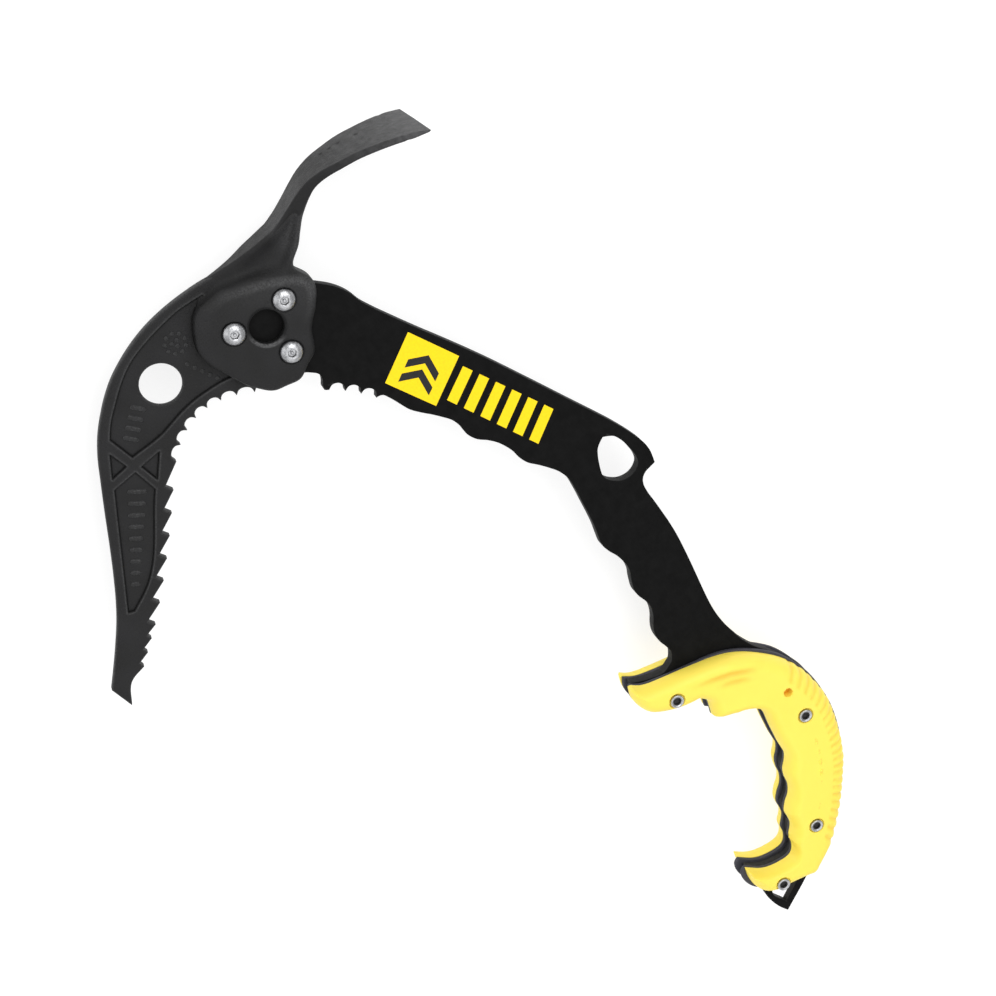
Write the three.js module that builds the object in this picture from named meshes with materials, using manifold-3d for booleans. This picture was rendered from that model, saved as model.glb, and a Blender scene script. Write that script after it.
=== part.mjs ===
// A short technical ice axe: a forged head with a toothed pick and an adze, bolted to a bent plate
// shaft that carries a two-part C-shaped grip and a steel spike.
//
// Millimetres, +Z up. The axe lies on its side: the shaft plate is parallel to the XY plane, X runs
// from the head to the spike, the adze points along +Y and the pick along -Y. Outlines are drawn
// round the hole in the head's cheeks, on the middle plane of the plate, and the finished axe is
// moved so that its origin is under the middle of its bounding box.

import * as THREE from 'three';
import { mergeVertices } from 'three/addons/utils/BufferGeometryUtils.js';
import Module from 'manifold-3d';

const wasm = await Module();
wasm.setup();

// ---------------------------------------------------------------- driving dimensions

const FIT_GAP = 0.3; // between two pieces that touch
const PLATE_THICKNESS = 6;

const BOSS_THICKNESS = 17;
const CHEEK_HOLE_RADIUS = 8;
const COUNTERBORE_DEPTH = 0.8;
const PICK_THICKNESS = 5;
const PICK_POCKET_DEPTH = 1.1;
const PICK_HOLE_RADIUS = 9.7;
const PICK_HOLE_CENTRE = [-8.4, -53.3];

const HEAD_BOLT_CENTRES = [[-5.1, 13.6], [-7.3, -13.2], [16.2, 1.2]];
const HEAD_BOLT = {
  headRadius: 5.4,
  headHeight: 2.9,
  shankRadius: 2.6,
  barrelRadius: 4,
  socketWidth: 3.6,
  socketDepth: 1.6,
};

const GRIP_THICKNESS = 30;
const LINER_THICKNESS = 2.2;
const SCALE_ROUND = { out: 8, down: 9 }; // from the scale's flat crown to its side
const GRIP_BOLT_CENTRES = [[300, 37.6], [362.3, 87.1], [428.8, 54.8], [447.5, 19.4]];
const GRIP_BOLT = {
  headRadius: 4.1,
  headHeight: 1.6,
  shankRadius: 1.9,
  barrelRadius: 2.9,
  socketWidth: 3.6,
  socketDepth: 1.1,
};
const GRIP_HEAD_SINK = 1.2; // the scale's face stands this much above the underside of a bolt head

const SPIKE_THICKNESS = 5;
const SPIKE_BOLT_INDEX = 3; // the grip bolt nearest the spike holds it

const HEAD_RIM = 0.3; // of a screw head's height, up to which its side is upright
const HEAD_SHOULDER = { out: 0.86, up: 0.72 }; // of a screw head's radius and height
const HEAD_FLAT = 0.55; // of a screw head's radius, round its socket
const SHANK_STOP = 2; // from a shank's end to the far head's seat
const BARREL_STOP = 1; // from a barrel's end to the near head's seat, and from its bore to its own head

const MERGE_DISTANCE = 1e-4; // below which two corners are one
const CUT_MARGIN = 1; // how far a cut runs on past the face that it opens

const ROUND_SEGMENTS = 18;
const CURVE_SEGMENTS = 2;
const BEVEL_SEGMENTS = 3;
const HOLLOW_SEGMENTS = 4; // round each hollow between two pointed teeth
const HEXAGON_SIDES = 6;

// ---------------------------------------------------------------- materials

const finishes = {
  forging: { color: 0x29292b, roughness: 0.5, metalness: 0.35 },
  plate: { color: 0x1a1a1a, roughness: 0.6, metalness: 0.3 },
  bolt: { color: 0xc4c7cb, roughness: 0.28, metalness: 1 },
  scale: { color: 0xffe05a, roughness: 0.5, metalness: 0 },
  liner: { color: 0x202227, roughness: 0.85, metalness: 0 },
  spike: { color: 0x101010, roughness: 0.45, metalness: 0.5 },
};

// ---------------------------------------------------------------- drawing and solid helpers

const vec = ([x, y]) => new THREE.Vector2(x, y);
const straight = (...points) => (shape) => points.forEach((point) => shape.lineTo(...point));
const smooth = (...points) => (shape) => shape.splineThru(points.map(vec));

// A closed outline: a start point and the runs that follow it, each joining on to the last.
function outline(start, ...runs) {
  const shape = new THREE.Shape();
  shape.moveTo(...start);
  runs.forEach((run) => run(shape));
  return shape;
}

// The point at t, from 0 to 1, on a shallow bow from one end to the other. A positive bow bulges
// to the left of the way from one end to the other, by that much at its middle.
function onBow(from, to, bow, t) {
  const along = vec(to).sub(vec(from));
  const left = new THREE.Vector2(-along.y, along.x).normalize();
  const point = vec(from).addScaledVector(along, t).addScaledVector(left, 4 * bow * t * (1 - t));
  return { point, along: along.normalize(), left };
}

// Saw teeth whose points lie on a bow. Each short flank drops by depth and leans along the row.
function sawTeeth({ from, to, bow, count, depth, lean }) {
  return (shape) => {
    for (let tooth = 0; tooth < count; tooth += 1) {
      const { point, along, left } = onBow(from, to, bow, tooth / (count - 1));
      const valley = point.clone().addScaledVector(left, depth).addScaledVector(along, lean);
      shape.lineTo(point.x, point.y);
      shape.lineTo(valley.x, valley.y);
    }
  };
}

// Pointed teeth on a bow with a half-round hollow between each pair.
function scallopTeeth({ from, to, bow, count, depth }) {
  return (shape) => {
    for (let tooth = 0; tooth < count; tooth += 1) {
      const { point } = onBow(from, to, bow, tooth / (count - 1));
      const next = onBow(from, to, bow, (tooth + 1) / (count - 1)).point;
      const halfway = next.clone().sub(point).multiplyScalar(0.5);
      const inward = new THREE.Vector2(-halfway.y, halfway.x).setLength(depth);
      const steps = tooth === count - 1 ? 1 : HOLLOW_SEGMENTS;
      for (let step = 0; step < steps; step += 1) {
        const turn = (Math.PI * step) / steps;
        const edge = point.clone().addScaledVector(halfway, 1 - Math.cos(turn));
        edge.addScaledVector(inward, Math.sin(turn));
        shape.lineTo(edge.x, edge.y);
      }
    }
  };
}

// A plate of the outline's shape between two heights.
function slab(shape, bottom, top) {
  const geometry = new THREE.ExtrudeGeometry(shape, {
    depth: top - bottom,
    bevelEnabled: false,
    curveSegments: CURVE_SEGMENTS,
  });
  return geometry.translate(0, 0, bottom);
}

function disc(radius, [x, y], bottom, top, segments = ROUND_SEGMENTS) {
  const geometry = new THREE.CylinderGeometry(radius, radius, top - bottom, segments);
  return geometry.rotateX(Math.PI / 2).translate(x, y, (bottom + top) / 2);
}

function toSolid(geometry) {
  const bare = geometry.clone();
  bare.deleteAttribute('normal');
  bare.deleteAttribute('uv');
  const merged = mergeVertices(bare, MERGE_DISTANCE);
  return new wasm.Manifold(new wasm.Mesh({
    numProp: 3,
    vertProperties: new Float32Array(merged.attributes.position.array),
    triVerts: new Uint32Array(merged.index.array),
  }));
}

function toGeometry(solid) {
  const mesh = solid.getMesh();
  const geometry = new THREE.BufferGeometry();
  geometry.setAttribute('position', new THREE.BufferAttribute(new Float32Array(mesh.vertProperties), 3));
  geometry.setIndex(new THREE.BufferAttribute(new Uint32Array(mesh.triVerts), 1));
  geometry.computeVertexNormals();
  return geometry;
}

const cut = (solid, geometries) => geometries.reduce((rest, piece) => rest.subtract(toSolid(piece)), solid);
const join = (solid, geometries) => geometries.reduce((rest, piece) => rest.add(toSolid(piece)), solid);

const placed = (solid, [x, y]) => toSolid(toGeometry(solid).translate(x, y, 0));

// The same piece put in from the far side of the plate: turned half a turn about the X axis.
const flipped = (solid) => toSolid(toGeometry(solid).rotateX(Math.PI));

// The mirror image across the plate's middle plane.
const mirroredBelow = (solid) => solid.mirror([0, 0, 1]);

function namedMesh(name, solid, finish) {
  const mesh = new THREE.Mesh(toGeometry(solid), new THREE.MeshStandardMaterial(finishes[finish]));
  mesh.name = name;
  return mesh;
}

// A closed skin over rings that all have the same number of points, with flat ends.
function loft(rings) {
  const size = rings[0].length;
  const positions = rings.flat().flatMap((point) => [point.x, point.y, point.z]);
  const faces = [];
  for (let ring = 0; ring < rings.length - 1; ring += 1) {
    for (let corner = 0; corner < size; corner += 1) {
      const next = (corner + 1) % size;
      const a = ring * size + corner;
      const b = ring * size + next;
      faces.push(a, b, b + size, a, b + size, a + size);
    }
  }
  const last = (rings.length - 1) * size;
  for (let corner = 1; corner < size - 1; corner += 1) {
    faces.push(0, corner + 1, corner);
    faces.push(last, last + corner, last + corner + 1);
  }
  const geometry = new THREE.BufferGeometry();
  geometry.setAttribute('position', new THREE.Float32BufferAttribute(positions, 3));
  geometry.setIndex(faces);
  return geometry;
}

// ---------------------------------------------------------------- head forging

// The pick's blade, from the crown over the head to the point and back along its teeth.
function pickOutline() {
  return outline(
    [-32, 15],
    smooth([-31.5, 2], [-33.6, -14], [-34.2, -30], [-32.6, -45], [-28, -60.5], [-20.5, -75], [-6, -92],
      [13, -105.8], [45, -126.8], [65, -141.3], [80, -155], [93.5, -168.7]),
    straight([106.5, -167.2], [96.5, -158.5]),
    sawTeeth({ from: [94.5, -149.6], to: [85.6, -137.5], bow: 0, count: 3, depth: 2.5, lean: 1.2 }),
    sawTeeth({ from: [81.3, -131.5], to: [34.4, -81.6], bow: -1.2, count: 7, depth: 4, lean: 1.3 }),
    scallopTeeth({ from: [24.5, -71.7], to: [22.5, -23.9], bow: 9.5, count: 8, depth: 3.2 }),
    straight([16, -14], [0, 12]),
  );
}

// Shallow pockets in both faces of the pick, with crossed ribs left between them.
function pickPockets() {
  return [
    outline(
      [-28.5, -13],
      smooth([-29.8, -30], [-25, -57], [-12, -78], [-3.5, -87]),
      straight([9.5, -85], [9.5, -66]),
      smooth([7, -50], [8, -34], [10.5, -24]),
    ),
    outline([1.8, -91.6], straight([11.6, -98.5], [11.1, -89.9])),
    outline([15.4, -74.2], straight([15.7, -84.9], [25.3, -83.6])),
    outline(
      [16, -88.8],
      straight([16.3, -101.2], [67.6, -136.6], [68.9, -134], [64.2, -123.4], [28.3, -87.4]),
    ),
  ];
}

function bossOutline() {
  return outline(
    [-26.5, -6],
    smooth([-25.8, -18.5], [-20, -25.5], [-8, -31], [8, -26.8], [22, -20.5], [29, -9.5], [28.5, 0],
      [23, 9.8], [14.4, 15.6], [8, 23.8], [-1.2, 29.9], [-10.3, 26.6], [-19.8, 12.2], [-26.5, -6]),
  );
}

// The neck and the adze along their middle line: its place, its thickness and its half width.
const ADZE_STATIONS = [
  { at: [-22, 16], thickness: 21, halfWidth: 8.4 },
  { at: [-25, 28], thickness: 16.5, halfWidth: 8.4 },
  { at: [-28.6, 35], thickness: 12.2, halfWidth: 8.4 },
  { at: [-32.9, 42], thickness: 8.4, halfWidth: 8.5 },
  { at: [-36.8, 49], thickness: 6, halfWidth: 9.8 },
  { at: [-39.2, 55], thickness: 4.6, halfWidth: 12.6 },
  { at: [-40, 62], thickness: 3.9, halfWidth: 16.2 },
  { at: [-39.4, 70], thickness: 3.5, halfWidth: 19.2 },
  { at: [-38.4, 78], thickness: 3.3, halfWidth: 21.2 },
  { at: [-36.5, 86], thickness: 3.1, halfWidth: 22.9 },
  { at: [-34.2, 94], thickness: 2.9, halfWidth: 24.7 },
  { at: [-31.4, 102], thickness: 2.3, halfWidth: 26.2 },
  { at: [-28.6, 109.5], thickness: 0.8, halfWidth: 26.8 },
];
const ADZE_CHAMFER = 1.2; // along the long edges
const ADZE_CHAMFER_SHARE = 0.3; // of the thickness, the most that the chamfer takes
const ADZE_EDGE_BOW = 2.2; // how far the middle of the cutting edge stands ahead of its corners

// One closed ring of the neck and adze, square to the middle line.
function adzeRing(index) {
  const { at, thickness, halfWidth } = ADZE_STATIONS[index];
  const before = vec(ADZE_STATIONS[Math.max(index - 1, 0)].at);
  const after = vec(ADZE_STATIONS[Math.min(index + 1, ADZE_STATIONS.length - 1)].at);
  const along = after.sub(before).normalize();
  const half = thickness / 2;
  const corner = Math.min(ADZE_CHAMFER, ADZE_CHAMFER_SHARE * thickness);
  const bow = index === ADZE_STATIONS.length - 1 ? ADZE_EDGE_BOW : 0;
  const profile = [
    [half, -halfWidth + corner],
    [half, -halfWidth / 2],
    [half, halfWidth / 2],
    [half, halfWidth - corner],
    [half - corner, halfWidth],
    [-half + corner, halfWidth],
    [-half, halfWidth - corner],
    [-half, halfWidth / 2],
    [-half, -halfWidth / 2],
    [-half, -halfWidth + corner],
    [-half + corner, -halfWidth],
    [half - corner, -halfWidth],
  ];
  return profile.map(([outward, across]) => {
    const ahead = bow * (1 - (across / halfWidth) ** 2) - bow;
    return new THREE.Vector3(
      at[0] + along.y * outward + along.x * ahead,
      at[1] - along.x * outward + along.y * ahead,
      across,
    );
  });
}

// The part of the shaft plate that sits in the head's slot, run on past the boss on the shaft's side.
function slotOutline() {
  return outline(
    [34, 0],
    straight([27, -8.5]),
    smooth([10, -20], [-7, -22.5], [-17, -15], [-19, 2], [-13.5, 18.5], [-4, 28]),
    straight([8, 37.5], [40, 40]),
  );
}

function makeHeadForging() {
  const halfBoss = BOSS_THICKNESS / 2;
  const halfPick = PICK_THICKNESS / 2;
  const halfSlot = PLATE_THICKNESS / 2 + FIT_GAP;
  const pocketFloor = halfPick - PICK_POCKET_DEPTH;
  const beyond = BOSS_THICKNESS;
  const blade = cut(toSolid(slab(pickOutline(), -halfPick, halfPick)), [
    ...pickPockets().map((pocket) => slab(pocket, pocketFloor, halfPick + CUT_MARGIN)),
    ...pickPockets().map((pocket) => slab(pocket, -halfPick - CUT_MARGIN, -pocketFloor)),
    disc(PICK_HOLE_RADIUS, PICK_HOLE_CENTRE, -beyond, beyond, 2 * ROUND_SEGMENTS),
  ]);
  const body = join(blade, [
    slab(bossOutline(), -halfBoss, halfBoss),
    loft(ADZE_STATIONS.map((station, index) => adzeRing(index))),
  ]);
  const seat = halfBoss - COUNTERBORE_DEPTH;
  return cut(body, [
    slab(slotOutline(), -halfSlot, halfSlot),
    disc(CHEEK_HOLE_RADIUS, [0, 0], -beyond, beyond, 2 * ROUND_SEGMENTS),
    ...HEAD_BOLT_CENTRES.flatMap((centre) => [
      disc(HEAD_BOLT.barrelRadius + FIT_GAP, centre, -beyond, beyond),
      disc(HEAD_BOLT.headRadius + FIT_GAP, centre, seat, beyond),
      disc(HEAD_BOLT.headRadius + FIT_GAP, centre, -beyond, -seat),
    ]),
  ]);
}

// ---------------------------------------------------------------- shaft plate

// The plate's edge past the boss: climbing teeth, finger scallops, a tang of the grip's shape that is
// a little smaller than the grip, a small hook at the bend and a straight back to the head.
function shaftOutline() {
  return outline(
    [31, 0.6],
    smooth([35, 4], [38.6, 3.4], [42.2, 1.1], [44.3, 2.9]),
    scallopTeeth({ from: [44.3, 2.9], to: [62.3, 17.4], bow: 0.8, count: 4, depth: 3.7 }),
    smooth([63.4, 20.6], [70, 23.4], [78.5, 26.4], [89, 34], [98, 39.2], [109.5, 40.4], [119, 47.8],
      [128, 51.6], [138, 53.4], [148.6, 60.4], [160, 65], [178, 63], [192, 60.6], [204, 57.8], [215, 60.7],
      [224, 61.2], [231, 58.4], [238.6, 56.2], [249, 58], [256, 56.2], [263.6, 51.6], [271, 50.3],
      [281, 51.8], [286.4, 48.6]),
    smooth([288.8, 41.6], [286.2, 34], [283, 28.4]),
    straight([280.4, 24.2]),
    smooth([288, 22.4], [296, 23.6], [301.6, 27.4], [306.6, 36], [310, 46]),
    smooth([315.4, 52.4], [323.4, 51.8], [328, 50.8], [334.4, 61.6], [341.8, 70.2], [348, 72], [357, 70.4],
      [372, 68.2], [382, 67.4], [390, 60], [402.6, 57.4], [412.4, 47.4]),
    smooth([417, 46.2], [423, 46.2]),
    straight([444, 60.6]),
    smooth([434, 70.4], [413.6, 85.8], [384.6, 98.8], [358, 102.2], [340, 100], [324, 94.6], [313, 88.6],
      [303.8, 85.4]),
    smooth([293.1, 83.6], [281.1, 83], [268.6, 84.3], [243.8, 88.8], [224.1, 91.7], [206.8, 92.5],
      [192.4, 92.9], [186.5, 96.5], [185, 104.4]),
    smooth([177, 106.1], [168, 105], [153, 100], [135, 92.4], [80.5, 68.7], [45.4, 51.4], [23, 41],
      [13.5, 38.4], [6, 34.4], [-2, 27.4]),
    smooth([-12.5, 18], [-18, 2], [-16.2, -14.2], [-7, -21.4], [9.4, -19], [25.8, -8.2]),
  );
}

function shaftHoleOutline() {
  return outline(
    [155, 91],
    smooth([158.6, 85.4], [167.8, 80.8], [174, 79.8], [180.4, 84.8], [182, 92], [178, 98], [168, 98.4],
      [159, 96], [155, 91]),
  );
}

function makeShaftPlate() {
  const half = PLATE_THICKNESS / 2;
  const beyond = PLATE_THICKNESS;
  const throughPlate = GRIP_BOLT_CENTRES.filter((centre, index) => index !== SPIKE_BOLT_INDEX);
  return cut(toSolid(slab(shaftOutline(), -half, half)), [
    slab(shaftHoleOutline(), -beyond, beyond),
    ...HEAD_BOLT_CENTRES.map((centre) => disc(HEAD_BOLT.barrelRadius + FIT_GAP, centre, -beyond, beyond)),
    ...throughPlate.map((centre) => disc(GRIP_BOLT.barrelRadius + FIT_GAP, centre, -beyond, beyond)),
  ]);
}

// ---------------------------------------------------------------- grip

// The inside of the C, from the tip of the upper hook to the tip of the lower one: the trigger notch
// and the lobe after it, the palm, the ridges between the fingers and the lower hook.
const gripInside = [
  smooth([284.7, 20.2], [291.5, 20.2], [297.4, 22], [301.4, 25.4], [306, 32], [309.4, 39], [312, 47.4]),
  smooth([317.2, 50.6], [322.4, 49.6], [328, 47.8]),
  smooth([331, 50.6], [334, 56], [337, 62.8], [342, 68.6], [348, 70.6], [357, 69], [371.5, 66.8],
    [381.4, 65.6], [390, 59], [402, 55.8], [412, 46.4], [422, 44.6], [429.6, 38.8]),
  smooth([436, 37.4], [440.8, 33], [440.3, 25], [436.4, 16], [427.6, 8.4]),
];

function scaleOutline() {
  return outline(
    [278, 22.7],
    ...gripInside,
    smooth([434.4, 6.5], [441.6, 6.4], [447.8, 8.8], [452.2, 14.4], [455.8, 26], [460.6, 38.4]),
    smooth([453, 52], [446.6, 60.4], [427, 79], [400, 94.8], [370, 103.1], [352, 103], [340, 100.8],
      [325.6, 94.8], [310, 82.8], [300.6, 70.6], [293, 52], [288, 37.6], [284, 28.4], [278, 22.7]),
  );
}

// The liner stands a little proud of the scales along the back of the hand and at the lower hook's tip.
function linerOutline() {
  return outline(
    [279.2, 23.2],
    ...gripInside,
    smooth([429.8, 4.9], [436, 3.4], [444.4, 5.8], [451.2, 13], [455.6, 26], [460.6, 38.4]),
    smooth([453, 52], [446.6, 60.4], [427, 79.4], [400, 95.4], [376, 102.8], [354, 103.8], [341, 101.6],
      [325.2, 96], [309.4, 83.8], [299.6, 70.6], [293, 52], [288, 37.6], [284, 28.6], [279.2, 23.2]),
  );
}

// The flat of the scale's outer face. The face rounds down from it to the scale's edge.
function crownOutline() {
  return outline(
    [287.6, 25.8],
    smooth([293, 27], [298, 33.5], [302, 42], [307, 53.4], [316, 57.6], [323.4, 54.6], [330, 66],
      [341, 75.6], [357, 75.4], [376, 73], [392, 65.6], [410, 55], [426, 50], [438, 43.4], [446.4, 34],
      [444.6, 24], [434.4, 12]),
    smooth([442.4, 12.4], [448, 20.2], [452.4, 38], [446, 49.4], [428.6, 66.2], [410, 79.8], [395.4, 87.8],
      [368.8, 95.8], [350.4, 95.4], [338.8, 92.8], [327.2, 87], [313, 75], [302.8, 58.8], [295.2, 40],
      [287.6, 25.8]),
  );
}

// A scale with its outer face at +Z. Its outer edges are rounded.
function makeScale() {
  const inner = PLATE_THICKNESS / 2 + LINER_THICKNESS + 2 * FIT_GAP;
  const outer = GRIP_THICKNESS / 2;
  const rounded = new THREE.ExtrudeGeometry(crownOutline(), {
    depth: outer,
    bevelEnabled: true,
    bevelThickness: SCALE_ROUND.down,
    bevelSize: SCALE_ROUND.out,
    bevelSegments: BEVEL_SEGMENTS,
    curveSegments: CURVE_SEGMENTS,
  }).translate(0, 0, -SCALE_ROUND.down);
  const seat = outer - GRIP_HEAD_SINK;
  const beyond = outer + CUT_MARGIN;
  return cut(toSolid(slab(scaleOutline(), inner, beyond)).intersect(toSolid(rounded)), [
    ...GRIP_BOLT_CENTRES.map((centre) => disc(GRIP_BOLT.barrelRadius + FIT_GAP, centre, 0, beyond)),
    ...GRIP_BOLT_CENTRES.map((centre) => disc(GRIP_BOLT.headRadius + FIT_GAP, centre, seat, beyond)),
  ]);
}

function makeLiner() {
  const inner = PLATE_THICKNESS / 2 + FIT_GAP;
  const outer = inner + LINER_THICKNESS;
  return cut(toSolid(slab(linerOutline(), inner, outer)), GRIP_BOLT_CENTRES.map((centre) => (
    disc(GRIP_BOLT.barrelRadius + FIT_GAP, centre, 0, GRIP_THICKNESS))));
}

// ---------------------------------------------------------------- spike

// A plate whose root fills the lower hook and whose end is a pointed loop past the grip.
function makeSpike() {
  const half = SPIKE_THICKNESS / 2;
  const body = outline(
    [424, 44.6],
    smooth([430.6, 40.4], [438, 38.4], [442.4, 33], [441.6, 25], [438, 16.4], [431, 9]),
    smooth([437, 6.6], [443, 8], [448, 10.4]),
    smooth([453, 8.5], [459.5, 7.5], [469.6, 8.7], [477.4, 11.6]),
    straight([464.4, 34.8], [445.4, 59]),
  );
  const eye = outline([457, 24], straight([455.4, 14], [459, 11.4], [471, 14], [461.4, 31]));
  const [x, y] = GRIP_BOLT_CENTRES[SPIKE_BOLT_INDEX];
  return cut(toSolid(slab(body, -half, half)), [
    slab(eye, -SPIKE_THICKNESS, SPIKE_THICKNESS),
    disc(GRIP_BOLT.barrelRadius + FIT_GAP, [x, y], -SPIKE_THICKNESS, SPIKE_THICKNESS),
  ]);
}

// ---------------------------------------------------------------- fasteners

// The outside of a domed head, from the edge of its underside to the middle of its top.
function headProfile({ headRadius, headHeight }, seat) {
  return [
    [headRadius, seat],
    [headRadius, seat + headHeight * HEAD_RIM],
    [headRadius * HEAD_SHOULDER.out, seat + headHeight * HEAD_SHOULDER.up],
    [headRadius * HEAD_FLAT, seat + headHeight],
    [0, seat + headHeight],
  ];
}

// A body turned from a profile, with a six-sided socket cut into the top of its head.
function turned(profile, { headHeight, socketWidth, socketDepth }, seat) {
  const body = new THREE.LatheGeometry(profile.map(vec), ROUND_SEGMENTS).rotateX(Math.PI / 2);
  const top = seat + headHeight;
  const socketRadius = socketWidth / Math.sqrt(3);
  const socket = disc(socketRadius, [0, 0], top - socketDepth, top + CUT_MARGIN, HEXAGON_SIDES);
  return cut(toSolid(body), [socket]);
}

// A domed socket screw, head up, with the underside of its head at seat.
function makeBolt(size, seat) {
  const end = SHANK_STOP - seat;
  const profile = [[0, end], [size.shankRadius, end], [size.shankRadius, seat], ...headProfile(size, seat)];
  return turned(profile, size, seat);
}

// A barrel nut: a domed head and a tube, open at its end, that the screw's shank goes into.
function makeBarrelNut(size, seat) {
  const end = BARREL_STOP - seat;
  const bore = size.shankRadius + FIT_GAP;
  const boreTop = seat - BARREL_STOP;
  const tube = [[bore, end], [size.barrelRadius, end], [size.barrelRadius, seat]];
  const inside = [[0, boreTop], [bore, boreTop], [bore, end]];
  return turned([...tube, ...headProfile(size, seat), ...inside], size, seat);
}

// ---------------------------------------------------------------- assembly

function assemble() {
  const axe = new THREE.Group();
  axe.add(namedMesh('head_forging', makeHeadForging(), 'forging'));
  axe.add(namedMesh('shaft_plate', makeShaftPlate(), 'plate'));

  const headSeat = BOSS_THICKNESS / 2 - COUNTERBORE_DEPTH + FIT_GAP;
  const headBolt = makeBolt(HEAD_BOLT, headSeat);
  const headNut = flipped(makeBarrelNut(HEAD_BOLT, headSeat));
  HEAD_BOLT_CENTRES.forEach((centre, index) => {
    axe.add(namedMesh(`head_bolt_${index + 1}`, placed(headBolt, centre), 'bolt'));
    axe.add(namedMesh(`head_nut_${index + 1}`, placed(headNut, centre), 'bolt'));
  });

  const scale = makeScale();
  const liner = makeLiner();
  axe.add(namedMesh('grip_scale_front', scale, 'scale'));
  axe.add(namedMesh('grip_scale_back', mirroredBelow(scale), 'scale'));
  axe.add(namedMesh('grip_liner_front', liner, 'liner'));
  axe.add(namedMesh('grip_liner_back', mirroredBelow(liner), 'liner'));

  const gripSeat = GRIP_THICKNESS / 2 - GRIP_HEAD_SINK + FIT_GAP;
  const gripBolt = makeBolt(GRIP_BOLT, gripSeat);
  const gripNut = flipped(makeBarrelNut(GRIP_BOLT, gripSeat));
  GRIP_BOLT_CENTRES.forEach((centre, index) => {
    axe.add(namedMesh(`grip_bolt_${index + 1}`, placed(gripBolt, centre), 'bolt'));
    axe.add(namedMesh(`grip_nut_${index + 1}`, placed(gripNut, centre), 'bolt'));
  });
  axe.add(namedMesh('spike', makeSpike(), 'spike'));
  return axe;
}

const axe = assemble();
const box = new THREE.Box3().setFromObject(axe);
const middle = box.getCenter(new THREE.Vector3());
axe.position.set(-middle.x, -middle.y, -box.min.z);

export default axe;
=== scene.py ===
import math

import bmesh
import bpy
import numpy as np
from mathutils import Matrix, Vector
from mathutils.geometry import delaunay_2d_cdt


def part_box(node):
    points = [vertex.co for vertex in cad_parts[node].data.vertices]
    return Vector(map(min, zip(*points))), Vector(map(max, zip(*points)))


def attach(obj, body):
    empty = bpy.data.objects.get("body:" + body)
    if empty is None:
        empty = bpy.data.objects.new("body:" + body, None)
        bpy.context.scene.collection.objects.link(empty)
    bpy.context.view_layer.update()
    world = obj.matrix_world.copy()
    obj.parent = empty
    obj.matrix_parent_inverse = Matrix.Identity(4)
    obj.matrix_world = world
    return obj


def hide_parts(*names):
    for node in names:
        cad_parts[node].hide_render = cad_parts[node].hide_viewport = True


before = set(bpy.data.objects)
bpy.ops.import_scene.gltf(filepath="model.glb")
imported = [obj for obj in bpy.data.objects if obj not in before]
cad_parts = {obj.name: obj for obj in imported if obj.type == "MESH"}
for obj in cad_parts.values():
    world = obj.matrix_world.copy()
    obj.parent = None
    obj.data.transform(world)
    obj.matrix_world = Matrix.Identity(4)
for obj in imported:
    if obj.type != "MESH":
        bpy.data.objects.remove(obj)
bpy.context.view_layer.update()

# A short technical ice axe, lying on a pale floor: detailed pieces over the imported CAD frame.
#
# Shapes are worked out in millimetres round the hole in the head's cheeks, on the middle plane of the
# shaft plate, with x from the head to the spike, y towards the adze and z up. Outlines are read from
# the flat faces of the CAD nodes.

MM = 0.001


def add_object(name, data):
    made = bpy.data.objects.new(name, data)
    bpy.context.scene.collection.objects.link(made)
    return made


def middle(node):
    low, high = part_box(node)
    return (low + high) / 2


HEAD_BOLT_1 = Vector((-5.1, 13.6, 0))  # from the cheek hole
ORIGIN = middle("head_bolt_1") - HEAD_BOLT_1 * MM
ORIGIN.z = middle("shaft_plate").z


def to_row(points):
    return [ORIGIN + Vector(point) * MM for point in points]


def bolt_centre(node):
    place = (middle(node) - ORIGIN) / MM
    return np.array([place.x, place.y])


HEAD_BOLTS = [bolt_centre(f"head_bolt_{i}") for i in (1, 2, 3)]
GRIP_BOLTS = [bolt_centre(f"grip_bolt_{i}") for i in (1, 2, 3, 4)]

# ---- camera

# Fitted to the photograph: the camera's place, and the directions of its right and its top.
CAMERA_PLACE = Vector((-254.95, 30.66, 743.72))
CAMERA_RIGHT = Vector((0.55542, 0.77533, 0.30062))
CAMERA_UP = Vector((-0.68301, 0.63155, -0.36693))
SENSOR_WIDTH = 36
LENS = 62.03


def make_camera():
    data = bpy.data.cameras.new("camera")
    data.sensor_width = SENSOR_WIDTH
    data.lens = LENS
    camera = add_object("camera", data)
    back = CAMERA_RIGHT.cross(CAMERA_UP)
    turn = Matrix((CAMERA_RIGHT, CAMERA_UP, back)).transposed()
    camera.matrix_world = Matrix.Translation(to_row([CAMERA_PLACE])[0]) @ turn.to_4x4()
    bpy.context.scene.camera = camera


make_camera()

# ---- outlines from the frame

FLAT = 0.999  # how nearly a face's normal is upright
# In metres: CAD corners nearer than this are one, a cut's precision, and a face's from its height.
WELD = 1e-6
CUT_WELD = 1e-7
LEVEL_GAP = 1e-4
STRAIGHT = 1e-3  # radians
SHARP_TURN = math.radians(50)


def welded(node):
    """A CAD node's mesh with its shared corners joined."""
    mesh = bmesh.new()
    mesh.from_mesh(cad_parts[node].data)
    bmesh.ops.remove_doubles(mesh, verts=mesh.verts, dist=WELD)
    return mesh


def in_plan(ring):
    return np.array([((vert.co - ORIGIN) / MM)[:2] for vert in ring])


def longest_first(loops):
    return sorted(loops, key=lambda ring: -loop_length(ring))


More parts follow.
